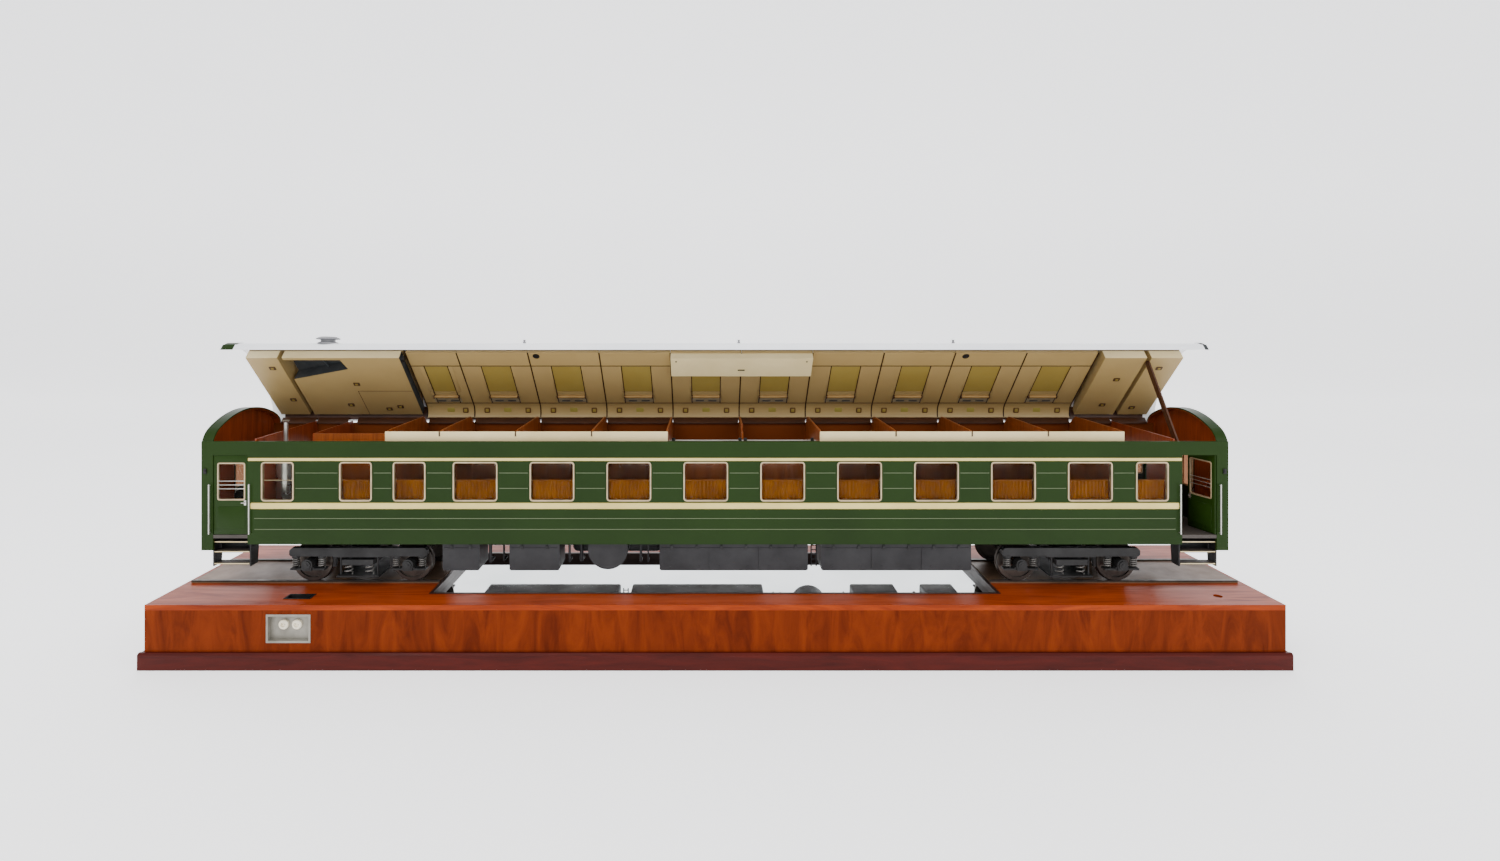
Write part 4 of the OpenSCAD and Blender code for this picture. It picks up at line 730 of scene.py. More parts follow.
@dataclass(frozen=True)
class Curtains:
    """Pleated half curtains behind the windows."""

    folds: int = 11
    folded_width: float = 92.0
    depth: float = 1.0
    thick: float = 0.4
    height: float = 42.8
    foot: float = 361.0
    y: float = 143.2
    frame_edges: float = 10.0
    rod_y: float = 143.6
    rod_r: float = 1.5
    rod_rise: float = 1.2
    cuts: int = 8
    steps: int = 400

    def build(self) -> None:
        windows = COACH.windows()
        for i, (x, width) in enumerate(windows[1:], 1):
            self.hang(f"curtain_near_{i}", x, width, -self.y)
        for i, (x, width) in enumerate(windows[3:3 + COACH.bay_count]):
            self.hang(f"curtain_far_{i}", x, width, self.y)

    def hang(self, name: str, x: float, frame_width: float, y: float) -> None:
        """Model one curtain.

        Args:
            name: Name of the piece.
            x: Middle of the window.
            frame_width: Width of the window over its frame.
            y: Middle plane of the curtain.
        """
        wide = frame_width - self.frame_edges
        folds = round(self.folds * wide / self.folded_width)
        sheet = primitive(
            bpy.ops.mesh.primitive_grid_add, (wide * MM, self.height * MM, 1), size=1,
            x_subdivisions=folds * self.cuts, y_subdivisions=self.cuts,
            location=(x * MM, y * MM, (self.foot + self.height / 2) * MM), rotation=(math.pi / 2, 0, 0),
        )
        for vertex in sheet.data.vertices:
            u = (vertex.co.x / MM - x) / wide + 0.5
            v = (vertex.co.z / MM - self.foot) / self.height
            swing = math.sin(2 * math.pi * folds * u) * (0.72 + 0.28 * (1 - v))
            lean = 0.25 * math.sin(2 * math.pi * (folds * u * 0.31 + 0.2 * x / 100))
            vertex.co.y += (self.depth * swing + lean) * MM
        pitch = 2 * math.pi * self.depth * folds / wide
        slopes = [pitch * math.cos(2 * math.pi * i / self.steps) for i in range(self.steps)]
        modifier(sheet, "SOLIDIFY", thickness=self.thick * MM, offset=0)
        piece = hand_over([sheet], name, CURTAIN, angle=80)
        rod_y, rod_z = math.copysign(self.rod_y, y), self.foot + self.height + self.rod_rise
        tube = rod((x - wide / 2, rod_y, rod_z), (x + wide / 2, rod_y, rod_z), self.rod_r, 12)
        heading = hand_over([tube], f"{name}_heading", CURTAIN, angle=80)
        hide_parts("curtains")


@dataclass(frozen=True)
class Berths:
    """Padded covers on the lower and upper berths."""

    width: float = 52.0
    length: float = 178.0
    lower: float = 319.5
    upper: float = 421.5
    y: float = 47.0
    from_partition: float = 28.0
    drawn_in: Span = (0.035, 0.012)
    pinch: Span = (0.03, 0.01)
    crown: float = 0.34

    def build(self) -> None:
        """Model one pad of each thickness and copy it to each berth."""
        for label, foot, thick in (("lower", self.lower, 10.0), ("upper", self.upper, 7.0)):
            pad = self.pad(thick)
            for i in range(COACH.bay_count):
                left = COACH.partition_faces(i)[1] + self.from_partition
                right = COACH.partition_faces(i + 1)[0] - self.from_partition
                for side, x in (("left", left), ("right", right)):
                    made = copy(pad, (x, self.y, foot))
                    hand_over([made], f"berth_{label}_{i}_{side}", SEAT, angle=60)
                    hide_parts("berth_cushions")
            bpy.data.objects.remove(pad)

    def pad(self, thick: float) -> Piece:
        """Model a crowned pad with drawn-in sides.

        Args:
            thick: Height of the pad.

        Returns:
            The pad, with its foot at the origin.
        """
        half_x, half_y = self.width / 2, self.length / 2
        piece = block(around(0, half_x), around(0, half_y), (0, thick), 0)
        edit(piece, SELECT_ALL, partial(bpy.ops.mesh.subdivide, number_cuts=9))
        for vertex in piece.data.vertices:
            u, v, w = (c / (size * MM) for c, size in zip(vertex.co, (half_x, half_y, thick)))
            edge = abs(2 * w - 1) ** 3
            vertex.co.x *= 1 - self.drawn_in[0] * (1 - v * v) - self.pinch[0] * edge
            vertex.co.y *= 1 - self.drawn_in[1] * (1 - u * u) - self.pinch[1] * edge
            if w > 0.5:
                vertex.co.z *= 1 - self.crown * max(abs(u) ** 3, abs(v) ** 6)
        modifier(piece, "SUBSURF", levels=1, render_levels=1)
        return piece


@dataclass(frozen=True)
class Springs:
    """Wound springs of the bogies, each kind with its mean radius, wire diameter and turns."""

    axle: tuple[float, float, int] = (7.4, 2.8, 4)
    bolster: tuple[float, float, int] = (8.5, 3.2, 2)
    bogie_x: float = 850.0
    axle_x: float = 120.0
    box_y: float = 104.0
    wing: float = 31.0
    pair: float = 25.0
    seat: float = 0.9
    steps: int = 24

    def build(self) -> None:
        """Wind one spring of each kind and copy it to its places."""
        bogies = [s * self.bogie_x for s in SIDES]
        axles = [x + a * self.axle_x + o * self.wing for x in bogies for a in SIDES for o in SIDES]
        bolsters = [x + o * self.pair for x in bogies for o in SIDES]
        for node, wind, xs, low, high in (
            ("axle_springs", self.axle, axles, COACH.up(38.8), COACH.up(63)),
            ("bolster_springs", self.bolster, bolsters, COACH.up(22), COACH.up(47)),
        ):
            spring = self.wind(*wind, high - low)
            made = [copy(spring, (x, side * self.box_y, low)) for x in xs for side in SIDES]
            bpy.data.objects.remove(spring)
            piece = hand_over(made, f"{node}_wound", SPRING, angle=70)
            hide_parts(node)

    def wind(self, radius: float, wire: float, turns: int, height: float) -> Piece:
        """Wind a spring between two seats.

        Args:
            radius: Mean radius of the turns.
            wire: Diameter of the wire.
            turns: Number of turns.
            height: Distance between the seats.

        Returns:
            The spring, with its lower seat at the origin.
        """
        seat = wire * self.seat
        coil = primitive(
            bpy.ops.mesh.primitive_circle_add, vertices=10, radius=wire / 2 * MM, fill_type="NGON",
            location=(radius * MM, 0, seat * MM), rotation=(math.pi / 2, 0, 0),
        )
        modifier(
            coil, "SCREW", angle=2 * math.pi, screw_offset=(height - 2 * seat) / turns * MM, iterations=turns,
            steps=self.steps, render_steps=self.steps, use_merge_vertices=True, merge_threshold=1e-6,
            use_normal_calculate=True,
        )
        spans = ((0, seat), (height - seat, height))
        ends = [rod((radius, 0, foot), (radius, 0, top), wire / 2, 10) for foot, top in spans]
        piece = join([coil, *ends])
        edit(piece, SELECT_ALL, FACES_OUT)
        return piece


@dataclass(frozen=True)
class Door:
    """One door with its window, bars and handles, drawn with its pin at the origin and reaching along -X."""

    node: str
    pin: Span
    length: float
    low: float
    high: float
    turn_deg: float
    flip_x: bool = False
    flip_y: bool = False
    barred: bool = True
    smoked: bool = False
    thick: float = 4.0
    window_mid: float = 254.5
    window_tall: float = 88.0
    window_in: Span = (5.5, 7.5)
    rim: float = 3.0
    grip: float = 205.0
    bars: tuple[float, ...] = (-17.0, -8.0, 1.0)

    def matrix(self) -> Matrix:
        """Place of the door in the coach."""
        place = Matrix.Translation(Vector((*self.pin, 0)) * MM)
        place = place @ Matrix.Rotation(math.radians(self.turn_deg), 4, "Z")
        if self.flip_y:
            place = Matrix.Scale(-1, 4, (0, 1, 0)) @ place
        if self.flip_x:
            place = Matrix.Scale(-1, 4, (1, 0, 0)) @ place
        return place

    def build(self) -> None:
        """Model the leaf, window frame, pane, lining, bars and handles."""
        t, free, mid = self.thick / 2, -self.length, COACH.up(self.window_mid)
        xs, zs = (free + self.window_in[0], -self.window_in[1]), around(mid, self.window_tall / 2)
        leaf = block((free, 0), around(0, t), (self.low, self.high), 0.3)
        heel = rod((0, 0, self.low), (0, 0, self.high), t, 20)
        pin = rod((0, 0, self.low - 5), (0, 0, self.high + 5), 1.2)
        self.pierce(leaf, xs, zs, 0.02)
        panel = rounded(xs, (-t - 0.7, -t + 0.2), (self.low + 12, zs[0] - 14), 4, Axis.Y)
        ease(panel)
        self.put([leaf, heel, pin, panel], "leaf", GREEN, "green_paint")
        ring = rounded(xs, around(0, t + 1), zs, 5, Axis.Y)
        self.pierce(ring, xs, zs, -self.rim, 3.5)
        ease(ring)
        self.put([ring], "window_frame", FRAME_METAL, "bright_metal")
        inset = -self.rim - 0.1
        pane = rounded(grown(xs, inset), around(0, 0.75), grown(zs, inset), 3.4, Axis.Y)
        self.put([pane], "pane", SMOKED if self.smoked else GLASS, "glass")
        lining = block((free + 2, -4), (t - 0.2, t + 0.4), (self.low + 2, self.high - 2), 0.2)
        self.pierce(lining, xs, zs, 0.4)
        self.put([lining], "lining", DOOR_LINING, "green_paint")
        if self.barred:
            y = -t - 0.4
            bars = [rod((xs[0] + 1, y, mid + z), (xs[1] - 1, y, mid + z), 0.8, 12) for z in self.bars]
            self.put(bars, "bars", SILVER, "bright_metal")
        z, reach = COACH.up(self.grip), t + 3.5
        parts = [rod((free + 6, -reach, z), (free + 6, reach, z), 1, 12)]
        for side in SIDES:
            parts.append(rod((free + 5, side * reach, z), (free + 14, side * reach, z), 1, 12))
            ys = sorted((side * t, side * (t + 0.6)))
            parts.append(block((free + 3.5, free + 8.5), ys, around(z, 6), 0.2))
        self.put(parts, "handles", SILVER, "bright_metal")

    def pierce(self, piece: Piece, xs: Span, zs: Span, by: float, radius: float = 5) -> None:
        """Cut the window, grown by a margin and with rounded corners, out of a piece."""
        cut(piece, rounded(grown(xs, by), around(0, self.thick / 2 + 5), grown(zs, by), radius, Axis.Y))

    def put(self, parts: Sequence[Piece], label: str, finish: Finish, slot: str) -> None:
        """Join parts, move them to the door's place and hand them over."""
        made = turn(join(parts), self.matrix())
        piece = hand_over([made], f"{self.node}_{label}", finish, f"{self.node}_body")
        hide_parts(self.node)


@dataclass(frozen=True)
class Doors:
    """The six doors of the coach."""

    side_pin: Span = (1168.1, -150.0)
    end_pin: Span = (1194.5, 30.6)
    ajar: float = -78.0

    def build(self) -> None:
        """Build each door in its place."""
        side = dict(pin=self.side_pin, length=78.2, low=COACH.up(131), high=COACH.up(315.6))
        end = dict(pin=self.end_pin, length=63.2, low=COACH.up(130.4), high=COACH.up(311.6), barred=False)
        for door in (
            Door("near_right_door", turn_deg=self.ajar, **side),
            Door("near_left_door", turn_deg=0, flip_x=True, **side),
            Door("far_right_door", turn_deg=0, flip_y=True, smoked=True, **side),
            Door("far_left_door", turn_deg=0, flip_x=True, flip_y=True, smoked=True, **side),
            Door("right_end_door", turn_deg=90, smoked=True, **end),
            Door("left_end_door", turn_deg=90, flip_x=True, smoked=True, **end),
        ):
            door.build()


@dataclass(frozen=True)
class CeilingFittings:
    """Small fittings of the open roof, drawn with the roof closed."""

    service_low: float = 505.5
    bay_low: float = 522.5
    cove_y: float = 113.0
    cove_r: float = 33.0
    cove_end: float = 66.0
    front: float = -100.0
    groove_y: float = -48.5
    seam: float = 3.4
    diffuser_half: float = 42.6
    # Half widths in the first bay and in the others.
    lit_halves: Span = (30.0, 37.5)
    tube_halves: Span = (32.0, 36.0)
    button_share: float = 0.62
    niche_x: Span = (-1079.5, -937.5)
    niche_top: float = 537.0
    crown_angle: float = 28.0
    eave_angle: float = 70.0
    shoulder_r: float = 57.48
    shoulder_y: float = 100.99
    shoulder_z: float = -19.66
    shell: float = 3.0
    rim_z: Span = (484.5, 500.6)
    strip_y: Span = (145.4, 146.3)
    strip_z: Span = (483.0, 503.0)
    strip_gap: float = 0.7
    hood: float = 1169.0

    @staticmethod
    def put(parts: Sequence[Piece], name: str, finish: Finish, slot: str) -> None:
        """Join parts, swing them open with the roof and hand them over."""
        hand_over([turn(join(parts), COACH.roof_matrix())], name, finish, Body.ROOF.value)

    def build(self) -> None:
        """Build the fittings of the ceilings, and then those of the eaves."""
        for step in (
            self.lips, self.seams, self.cove, self.lamps, self.service, self.niche, self.loft_front,
            self.rims, self.far_strip,
        ):
            step()

    @staticmethod
    def ribbon(line: Line, x: float, width: float, thick: float = 0.6) -> Piece:
        """Model a thin ribbon that follows a line in the roof's cross-section.

        Args:
            line: Y and Z of the ribbon from a share of its length.
            x: Middle of the ribbon along the coach.
            width: Width along the coach.
            thick: Thickness of the ribbon.

        Returns:
            The ribbon, with the roof closed.
        """
        piece = primitive(bpy.ops.mesh.primitive_grid_add, x_subdivisions=1, y_subdivisions=40, size=1)
        for vertex in piece.data.vertices:
            y, z = line(min(max(vertex.co.y + 0.5, 0), 1))
            vertex.co = Vector((x + vertex.co.x * width, y, z)) * MM
        modifier(piece, "SOLIDIFY", thickness=thick * MM, offset=0)
        return piece

    def on_arc(self, a: float) -> Span:
        """Y and Z on the cove at an angle from its flat edge."""
        return self.cove_y + self.cove_r * math.sin(a), self.bay_low - self.cove_r * (1 - math.cos(a))

    def ceiling_line(self, share: float) -> Span:
        """Y and Z along a bay's ceiling, from its front edge to the foot of the cove."""
        flat = self.cove_y - self.front
        along = share * (flat + self.cove_r * math.radians(self.cove_end))
        if along < flat:
            return self.front + along, self.bay_low
        return self.on_arc((along - flat) / self.cove_r)

    def shoulder(self, side: int, radius: float, first: float, last: float) -> Line:
        """Line round one shoulder of the roof.

        Args:
            side: -1 for the near side, 1 for the far side.
            radius: Radius of the line.
            first: Angle from the crown where it starts, in degrees.
            last: Angle where it ends.

        Returns:
            Y and Z of the line from a share of its length.
        """
        def line(share: float) -> Span:
            """Y and Z at a share of the line."""
            a = math.radians(first + share * (last - first))
            y = self.shoulder_y + radius * math.sin(a)
            return side * y, COACH.hinge_z + self.shoulder_z + radius * math.cos(a)
        return line

    def lips(self) -> None:
        """Bright strips along the front edges of the service ceilings."""
        ys, zs = (self.front - 1.4, self.front - 0.05), (self.service_low, self.service_low + 22)
        spans = [(-1170, -1091.5), (-1079.5, -787.4), (975.4, 1079.5), (1091.5, 1170)]
        self.put([block(xs, ys, zs) for xs in spans], "ceiling_lips", CREAM_PANEL, "cream_panel")

    def seams(self) -> None:
        """Brown seams between the bays and round each diffuser, and trims that narrow the diffusers."""
        parts, trims = [], []
        bays, front, back = COACH.bays(), self.groove_y, self.cove_y - 6
        zs = (self.bay_low - 0.35, self.bay_low + 0.25)
        for i, (left, right) in enumerate(bays):
            parts.append(self.ribbon(self.ceiling_line, left, self.seam))
            mid = (left + right) / 2
            for s in SIDES:
                x = mid + s * self.lit_halves[i > 0]
                parts.append(block(around(x, 1.2), (front, back), zs, 0.1))
                xs = sorted((x, mid + s * self.diffuser_half))
                trims.append(block(xs, (front, self.cove_y - 56), (zs[0] + 0.15, self.bay_low + 0.6), 0.1))
            for y, half in ((front, 1.3), (back, 1.1)):
                parts.append(block((left + 1, right - 1), around(y, half), zs, 0.1))
        parts.append(self.ribbon(self.ceiling_line, bays[-1][1], self.seam))
        self.put(parts, "ceiling_seams", SEAM, "diffuser_olive")
        self.put(trims, "diffuser_trims", CEILING, "ceiling_cream")

    def on_cove(self, x: float, angle: float, size: Point) -> Piece:
        """A small plate on the cove.

        Args:
            x: Place along the coach.
            angle: Place round the cove from its flat edge, in degrees.
            size: Width, height and thickness of the plate.

        Returns:
            The plate.
        """
        w, h, t = size
        plate = rounded(around(0, w / 2), around(0, h / 2), (-t, 0.1), min(w, h) * 0.18, Axis.Z)
        ease(plate, 0.3)
        a = math.radians(angle)
        place = Matrix.Translation(Vector((x, *self.on_arc(a))) * MM)
        return turn(plate, place @ Matrix.Rotation(-a, 4, "X"))

    def cove(self) -> None:
        """A plate and two buttons on each bay's cove, but only one button on the first."""
        buttons, middles, plates = [], [], []
        for i, (left, right) in enumerate(COACH.bays()):
            mid, out = (left + right) / 2, (right - left) / 2 * self.button_share
            for x in ([mid - out] if i else []) + [mid + out]:
                buttons.append(self.on_cove(x, 34, (15, 15, 1.6)))
                middles.append(self.on_cove(x, 34, (8.5, 8.5, 2.4)))
            plates.append(self.on_cove(mid, 32, (20, 12, 0.8)))
        self.put(buttons, "cove_buttons", BROWN_BUTTON, "diffuser_olive")
        self.put(middles, "cove_button_middles", OLIVE, "diffuser_olive")
        self.put(plates, "cove_plates", GREEN_PLATE, "diffuser_olive")

    def lamps(self) -> None:
        """Tube lamp, sockets, louvres and plate of each bay."""
        tubes, sockets, louvres, plates = [], [], [], []
        y, z = self.cove_y - 37, self.bay_low
        for i, (left, right) in enumerate(COACH.bays()):
            mid, half = (left + right) / 2, self.tube_halves[i > 0]
            tubes.append(rod((mid - half, y, z - 2.4), (mid + half, y, z - 2.4), 3.8, 20))
            for s in SIDES:
                xs = around(mid + s * (half + 1), 1.4)
                sockets.append(rounded(xs, around(y, 4.6), (z - 6.9, z + 0.4), 2, Axis.X))
                louvres.append(block(around(mid + s * 17, 11), (y + 18, y + 23), (z - 0.7, z + 0.4), 0.3))
            plates.append(block(around(mid, half + 4), (y + 10, y + 27), (z - 0.3, z + 0.45), 0.2))
        self.put(tubes, "lamp_tubes", TUBE, "bright_metal")
        self.put(sockets, "lamp_sockets", COVE_TRIM, "black_plastic")
        self.put(louvres, "lamp_louvres", TEAL, "black_plastic")
        self.put(plates, "lamp_plates", LAMP_PLATE, "bright_metal")

    def service(self) -> None:
        """Dark fittings and the hatch lines on the service ceilings."""
        z = self.service_low
        spots = [
            (-1118, -60), (-1113, 70), (-925, 4), (-967, 92), (-870, 110), (-838, 100),
            (1034, -15), (1035, 92), (1125, -60), (1118, 104),
        ]
        bases = [rounded(around(x, 8), around(y, 6), (z - 1.2, z + 0.4), 2, Axis.Z) for x, y in spots]
        self.put(bases, "service_fittings", COVE_TRIM, "black_plastic")
        lenses = [rounded(around(x, 3.4), around(y, 2.4), (z - 2.2, z - 1), 1.2, Axis.Z) for x, y in spots]
        self.put(lenses, "service_fitting_lenses", OLIVE, "diffuser_olive")
        lines = [((-930, -790), (33, 34.4)), ((-931, -929.6), (33, 134))]
        strips = [block(xs, ys, around(z, 0.3), 0.1) for xs, ys in lines]
        self.put(strips, "hatch_lines", COVE_TRIM, "black_plastic")

    def niche(self) -> None:
        """Dark lining and gear of the open corner, and the grey side and knob of the left service ceiling."""
        left, right = self.niche_x
        foot = self.service_low + 1
        outline = [(left, -91.6), (right - 0.3, -91.6), (right + 9.4, -56.2), (left, -16)]
        tub = primitive(bpy.ops.mesh.primitive_circle_add, vertices=4, radius=0.01, fill_type="NGON")
        for vertex, (x, y) in zip(tub.data.vertices, outline):
            vertex.co = Vector((x, y, self.niche_top)) * MM
        drop = {"value": (0, 0, (foot - self.niche_top) * MM)}
        extrude = partial(bpy.ops.mesh.extrude_region_move, TRANSFORM_OT_translate=drop)
        edit(tub, SELECT_ALL, extrude, SELECT_NONE)
        for face in tub.data.polygons:
            centre = face.center / MM
            face.select = abs(centre.z - foot) < 0.1 or abs(centre.x - left) < 0.1
        edit(tub, partial(bpy.ops.mesh.delete, type="FACE"), SELECT_ALL, FACES_OUT)
        modifier(tub, "SOLIDIFY", thickness=0.5 * MM, offset=0)
        side = block((-787.3, -786.2), (-99, 134), (self.service_low + 0.3, self.bay_low + 4), 0.2)
        knob = rounded((-786.3, -779), (-95, -80), (self.service_low + 2, self.bay_low - 2), 5, Axis.X)
        self.put([tub, side], "slate_niche", SLATE, "black_plastic")
        gear = [
            rod((-1020, -80, 529), (-950, -68, 529), 3),
            rod((-1000, -88, 529), (-990, -40, 529), 2.2),
            rounded((-1034, -1018), (-86, -66), (526, 535.5), 3, Axis.Z),
            rounded((-972, -956), (-84, -72), (524, 535.5), 3, Axis.Z),
        ]
        self.put(gear, "niche_gear", TEAL, "black_plastic")
        self.put([knob], "service_knob", BLACK, "black_plastic")

    def loft_front(self) -> None:
        """Small fittings of the loft box, and the dark holes in the front band."""
        zs = (self.service_low - 0.8, self.service_low + 0.3)
        low, high = self.bay_low - 0.5, self.bay_low + 0.4
        spots = [(68.4, -53, 9), (-96, -86, 2), (232, -86, 2)]
        parts = [rounded(around(x, half), around(y, 2), zs, 1, Axis.Z) for x, y, half in spots]
        parts += [rod((x, -87, low), (x, -87, high), 9, 24) for x in (-449.5, 634)]
        self.put(parts, "loft_fittings", BLACK, "black_plastic")

    def rims(self) -> None:
        """Drip rim along the near eave, with a green and a dark tip that run up the shoulder."""
        end = COACH.half_l + 1.9
        outer = self.shoulder(-1, self.shoulder_r + 0.3, self.crown_angle, self.eave_angle - 1)
        for name, xs, finish, slot in (
            ("roof_left_rim", (-end, -end + 30), GREEN, "green_paint"),
            ("roof_rim", (-end + 30, end - 9), WHITE, "roof_white"),
            ("roof_right_rim", (end - 9, end), SLATE, "black_plastic"),
        ):
            seat = (COACH.hinge_z + 0.3, self.rim_z[1])
            parts = [block(xs, (-157.2, -155.5), self.rim_z, 0.5), block(xs, (-156.5, -154.2), seat, 0.2)]
            if finish is not WHITE:
                parts.append(self.ribbon(outer, sum(xs) / 2, xs[1] - xs[0]))
            self.put(parts, name, finish, slot)

    def far_strip(self) -> None:
        """Dark brown strip inside the far eave, clear of every partition, that closes the gap there and
        paints the shade under the eave, and a painted shadow line above the ceilings.
        """
        # The ribbon lays dark brown over the white inner shoulder of the roof: painted shade.
        inner = self.shoulder(1, self.shoulder_r - self.shell - 0.15, 30, 67)
        strips = [self.ribbon(inner, 0, 2330, 0.3)]
        spans = [(-1168.5, -1076.7), (-1071.3, -987.5), (-963.5, -788.5), (978.5, 1071.3), (1076.7, 1168.5)]
        for i, (left, _) in enumerate(COACH.bays()):
            start = COACH.partition_faces(i - 1)[1] + self.strip_gap if i else left + 6.5
            spans.append((start, COACH.partition_faces(i)[0] - self.strip_gap))
        strips += [block(xs, self.strip_y, self.strip_z, 0.2) for xs in spans]
        self.put(strips, "far_eave_shade_strip", STAY_WOOD, "orange_wood")
        # A dark strip above the ceilings where there is only shade: a painted shadow line.
        ys, zs = (self.front - 3, self.front - 1.6), (self.bay_low + 7, self.bay_low + 9)
        self.put([block(around(0, self.hood), ys, zs, 0.3)], "eave_painted_shadow", SEAM, "diffuser_olive")


@dataclass(frozen=True)
class UnderframeGear:
    """Pipes, ladder and latches under the floor, and edges and boards of the steps."""

    step_x: Span = (1089.5, 1170.5)
    edge_y: Span = (146.0, 146.9)
    board_y: Span = (118.4, 119.8)
    treads: tuple[float, ...] = (59.0, 87.0, 110.0)
    ladder_x: Span = (229.0, 241.0)
    ladder_y: float = -118.0
    rungs: int = 5
    latch_y: Span = (137.2, 139.4)
    long_box: float = 200.0

    def build(self) -> None:
        """Build the pieces."""
        self.steps()
        self.pipes()
        self.latches()

    def steps(self) -> None:
        """Pale strips along the front edges of the treads, and dark boards behind the upper ones."""
        edges, boards = [], []
        for end, side in ((end, side) for end in SIDES for side in SIDES):
            xs = sorted(end * x for x in self.step_x)
            ys = sorted(side * y for y in self.edge_y)
            edges += [block(xs, ys, (z + 1, z + 3.1), 0.3) for z in map(COACH.up, self.treads)]
            ys = sorted(side * y for y in self.board_y)
            boards.append(block(xs, ys, (COACH.up(88), COACH.up(121.5)), 0.3))
        hand_over(edges, "step_edges", CREAM_PANEL)
        hand_over(boards, "step_boards", BLACK)

    def pipes(self) -> None:
        """Pipes between the boxes, and a ladder, on both sides."""
        rods = []
        for x, y, radius in (
            (-533, -116, 4), (-503, -108, 2.5), (-345, -116, 3),
            (-318, -106, 4.5), (-176, -112, 3), (-158, -118, 2),
        ):
            rods += [((x, y, 56), (x, y, 118), radius), ((x, y, 57), (x, y + 30, 57), radius)]
        rods.append(((-642, -110, 98), (-128, -110, 98), 3))
        (left, right), y = self.ladder_x, self.ladder_y
        rods += [((x, y, 46), (x, y, 118), 1.6) for x in (left, right)]
        rods += [((left, y, 52 + 11 * k), (right, y, 52 + 11 * k), 1.2) for k in range(self.rungs)]
        parts = [
            rod(*((s * x, s * y, COACH.up(z)) for x, y, z in ends), radius)
            for s in (1, -1) for *ends, radius in rods
        ]
        hand_over(parts, "underfloor_pipes", UNDERFRAME)

    def latches(self) -> None:
        """Latches on the box fronts."""
        parts = []
        for s in (1, -1):
            ys = sorted(-s * y for y in self.latch_y)
            for left, right in ((-130, 219), (250, 603), (-640, -553), (-483, -365)):
                count = 6 if right - left > self.long_box else 2
                for k in range(count):
                    x = (left + (right - left) * (k + 0.5) / count) * s
                    parts.append(block(around(x, 3), ys, (COACH.up(92), COACH.up(102)), 0.5))
        hand_over(parts, "box_latches", BOGIE)


@dataclass(frozen=True)
class LoftFittings:
    """Brackets on the open loft's guard rail, clips on the loft panels, and the plug in the plinth's hole."""

    brackets: tuple[float, ...] = (-100.0, 62.0, 75.0, 238.0)
    bracket_z: Span = (480.5, 491.5)
    clip_lines: tuple[int, ...] = (0, 1, 2, 6, 7, 8)
    clip_z: Span = (506.5, 518.1)
    plug: Point = (1162.5, -169.0, 139.0)

    def build(self) -> None:
        """Build the brackets, the clips and the plug."""
        parts = [block(around(x, 4), (-68.6, -64.2), self.bracket_z, 0.6) for x in self.brackets]
        hand_over(parts, "loft_brackets", BLACK)
        lines = [COACH.bay_first + i * COACH.bay_pitch for i in self.clip_lines]
        parts = [block(around(x, 1.6), (-136.1, -134.9), self.clip_z, 0.3) for x in lines]
        hand_over(parts, "loft_clips", COVE_TRIM)
        x, y, z = self.plug
        hand_over([rod((x, y, z - 8), self.plug, 9.9, 28)], "hole_plug", BLACK)


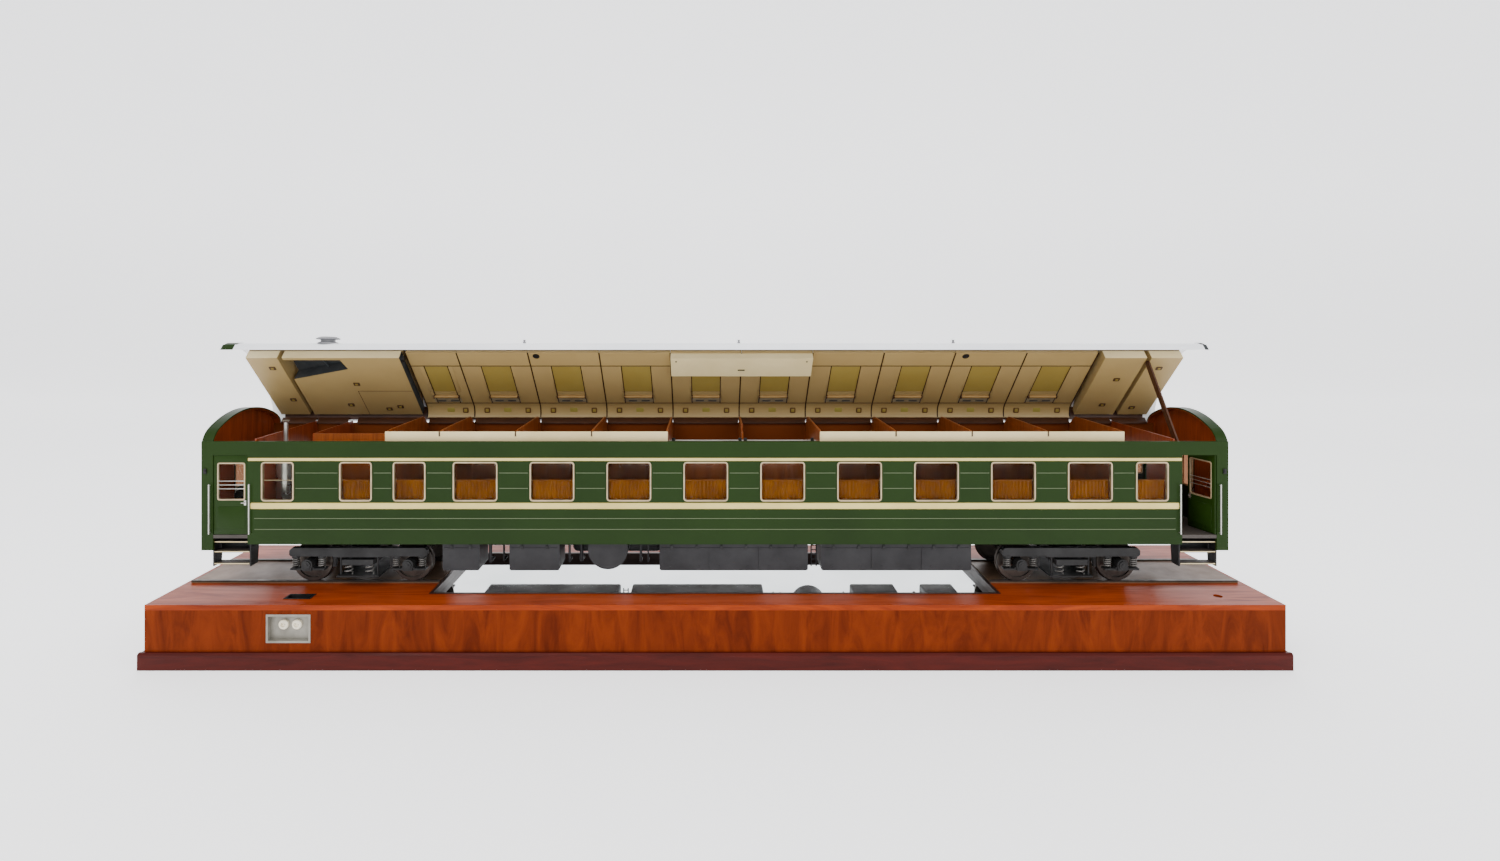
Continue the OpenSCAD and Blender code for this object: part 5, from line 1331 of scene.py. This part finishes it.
@dataclass(frozen=True)
class Studio:
    """Floor, lights and camera, with the floor in metres."""

    eye: Point = (-16.0, -2023.0, 814.5)
    lens_px: float = 802.0
    image_px: tuple[int, int] = (1500, 861)
    vanish_px: Span = (708.0, 305.5)
    floor_size: Point = (40.0, 30.0, 1.0)
    floor_glow: float = 0.95
    curve_start: float = 5.0
    curve_r: float = 2.0
    sky: tuple[float, ...] = (0.96, 0.97, 1.0, 1.0)
    sky_strength: float = 1.15

    def build(self) -> None:
        """Build the floor, the lights and the camera."""
        self.floor()
        self.lights()
        self.camera()

    def floor(self) -> None:
        """A pale floor with a wall that curves up far behind."""
        grid = dict(x_subdivisions=4, y_subdivisions=120, size=1)
        piece = primitive(bpy.ops.mesh.primitive_grid_add, self.floor_size, **grid)
        piece.name = "studio_floor"
        for vertex in piece.data.vertices:
            back = vertex.co.y - self.curve_start
            if back > 0:
                a = min(back / self.curve_r, math.pi / 2)
                vertex.co.y = self.curve_start + self.curve_r * math.sin(a)
                vertex.co.z = self.curve_r * (1 - math.cos(a)) + max(back - math.pi, 0)
        only(piece)
        bpy.ops.object.shade_smooth()
        finish = Finish("studio_grey", srgb(240, 240, 241), srgb(237, 237, 239), 0.8, patch=0.6, bump=0.0)
        paint(piece, finish)
        shader = finish.material().node_tree.nodes["Principled BSDF"]
        shader.inputs["Emission Color"].default_value = (1, 1, 1, 1)
        shader.inputs["Emission Strength"].default_value = self.floor_glow

    def lights(self) -> None:
        """Soft area lights and an even sky."""
        for name, place, aim, size, power in (
            ("key", (-1.8, -3.4, 3.6), (0, 0, 0.4), 2.6, 115),
            ("fill", (2.6, -3.6, 2.4), (0.2, 0, 0.4), 2.8, 60),
            ("top", (0, 0.4, 4.2), (0, 0, 0.3), 4.0, 90),
        ):
            bpy.ops.object.light_add(type="AREA", location=place)
            lamp = bpy.context.object
            lamp.name = name
            lamp.data.size = size
            lamp.data.energy = power
            lamp.rotation_euler = (Vector(aim) - Vector(place)).to_track_quat("-Z", "Y").to_euler()
        world = bpy.data.worlds.new("studio_sky")
        world.use_nodes = True
        back = world.node_tree.nodes["Background"]
        back.inputs["Color"].default_value = self.sky
        back.inputs["Strength"].default_value = self.sky_strength
        bpy.context.scene.world = world

    def camera(self) -> None:
        """Camera at the picture's viewing angle."""
        data = bpy.data.cameras.new("coach_view")
        data.sensor_width = 36.0
        width, height = self.image_px
        data.lens = self.lens_px / width * data.sensor_width
        data.shift_x = (width / 2 - self.vanish_px[0]) / width
        data.shift_y = -(height / 2 - self.vanish_px[1]) / width
        data.clip_end = 100
        eye = bpy.data.objects.new("coach_view", data)
        eye.location = [v * MM for v in self.eye]
        eye.rotation_euler = (math.pi / 2, 0, 0)
        bpy.context.scene.collection.objects.link(eye)
        bpy.context.scene.camera = eye


def main() -> None:
    """Build the studio and every sub-assembly in order."""
    logging.basicConfig(level=logging.INFO, format="%(name)s: %(message)s")
    for builder in (
        Studio(), Dressing(NODE_FINISH), Curtains(), Berths(), Springs(), Doors(), CeilingFittings(),
        UnderframeGear(), LoftFittings(),
    ):
        builder.build()


if __name__ == "__main__":
    main()
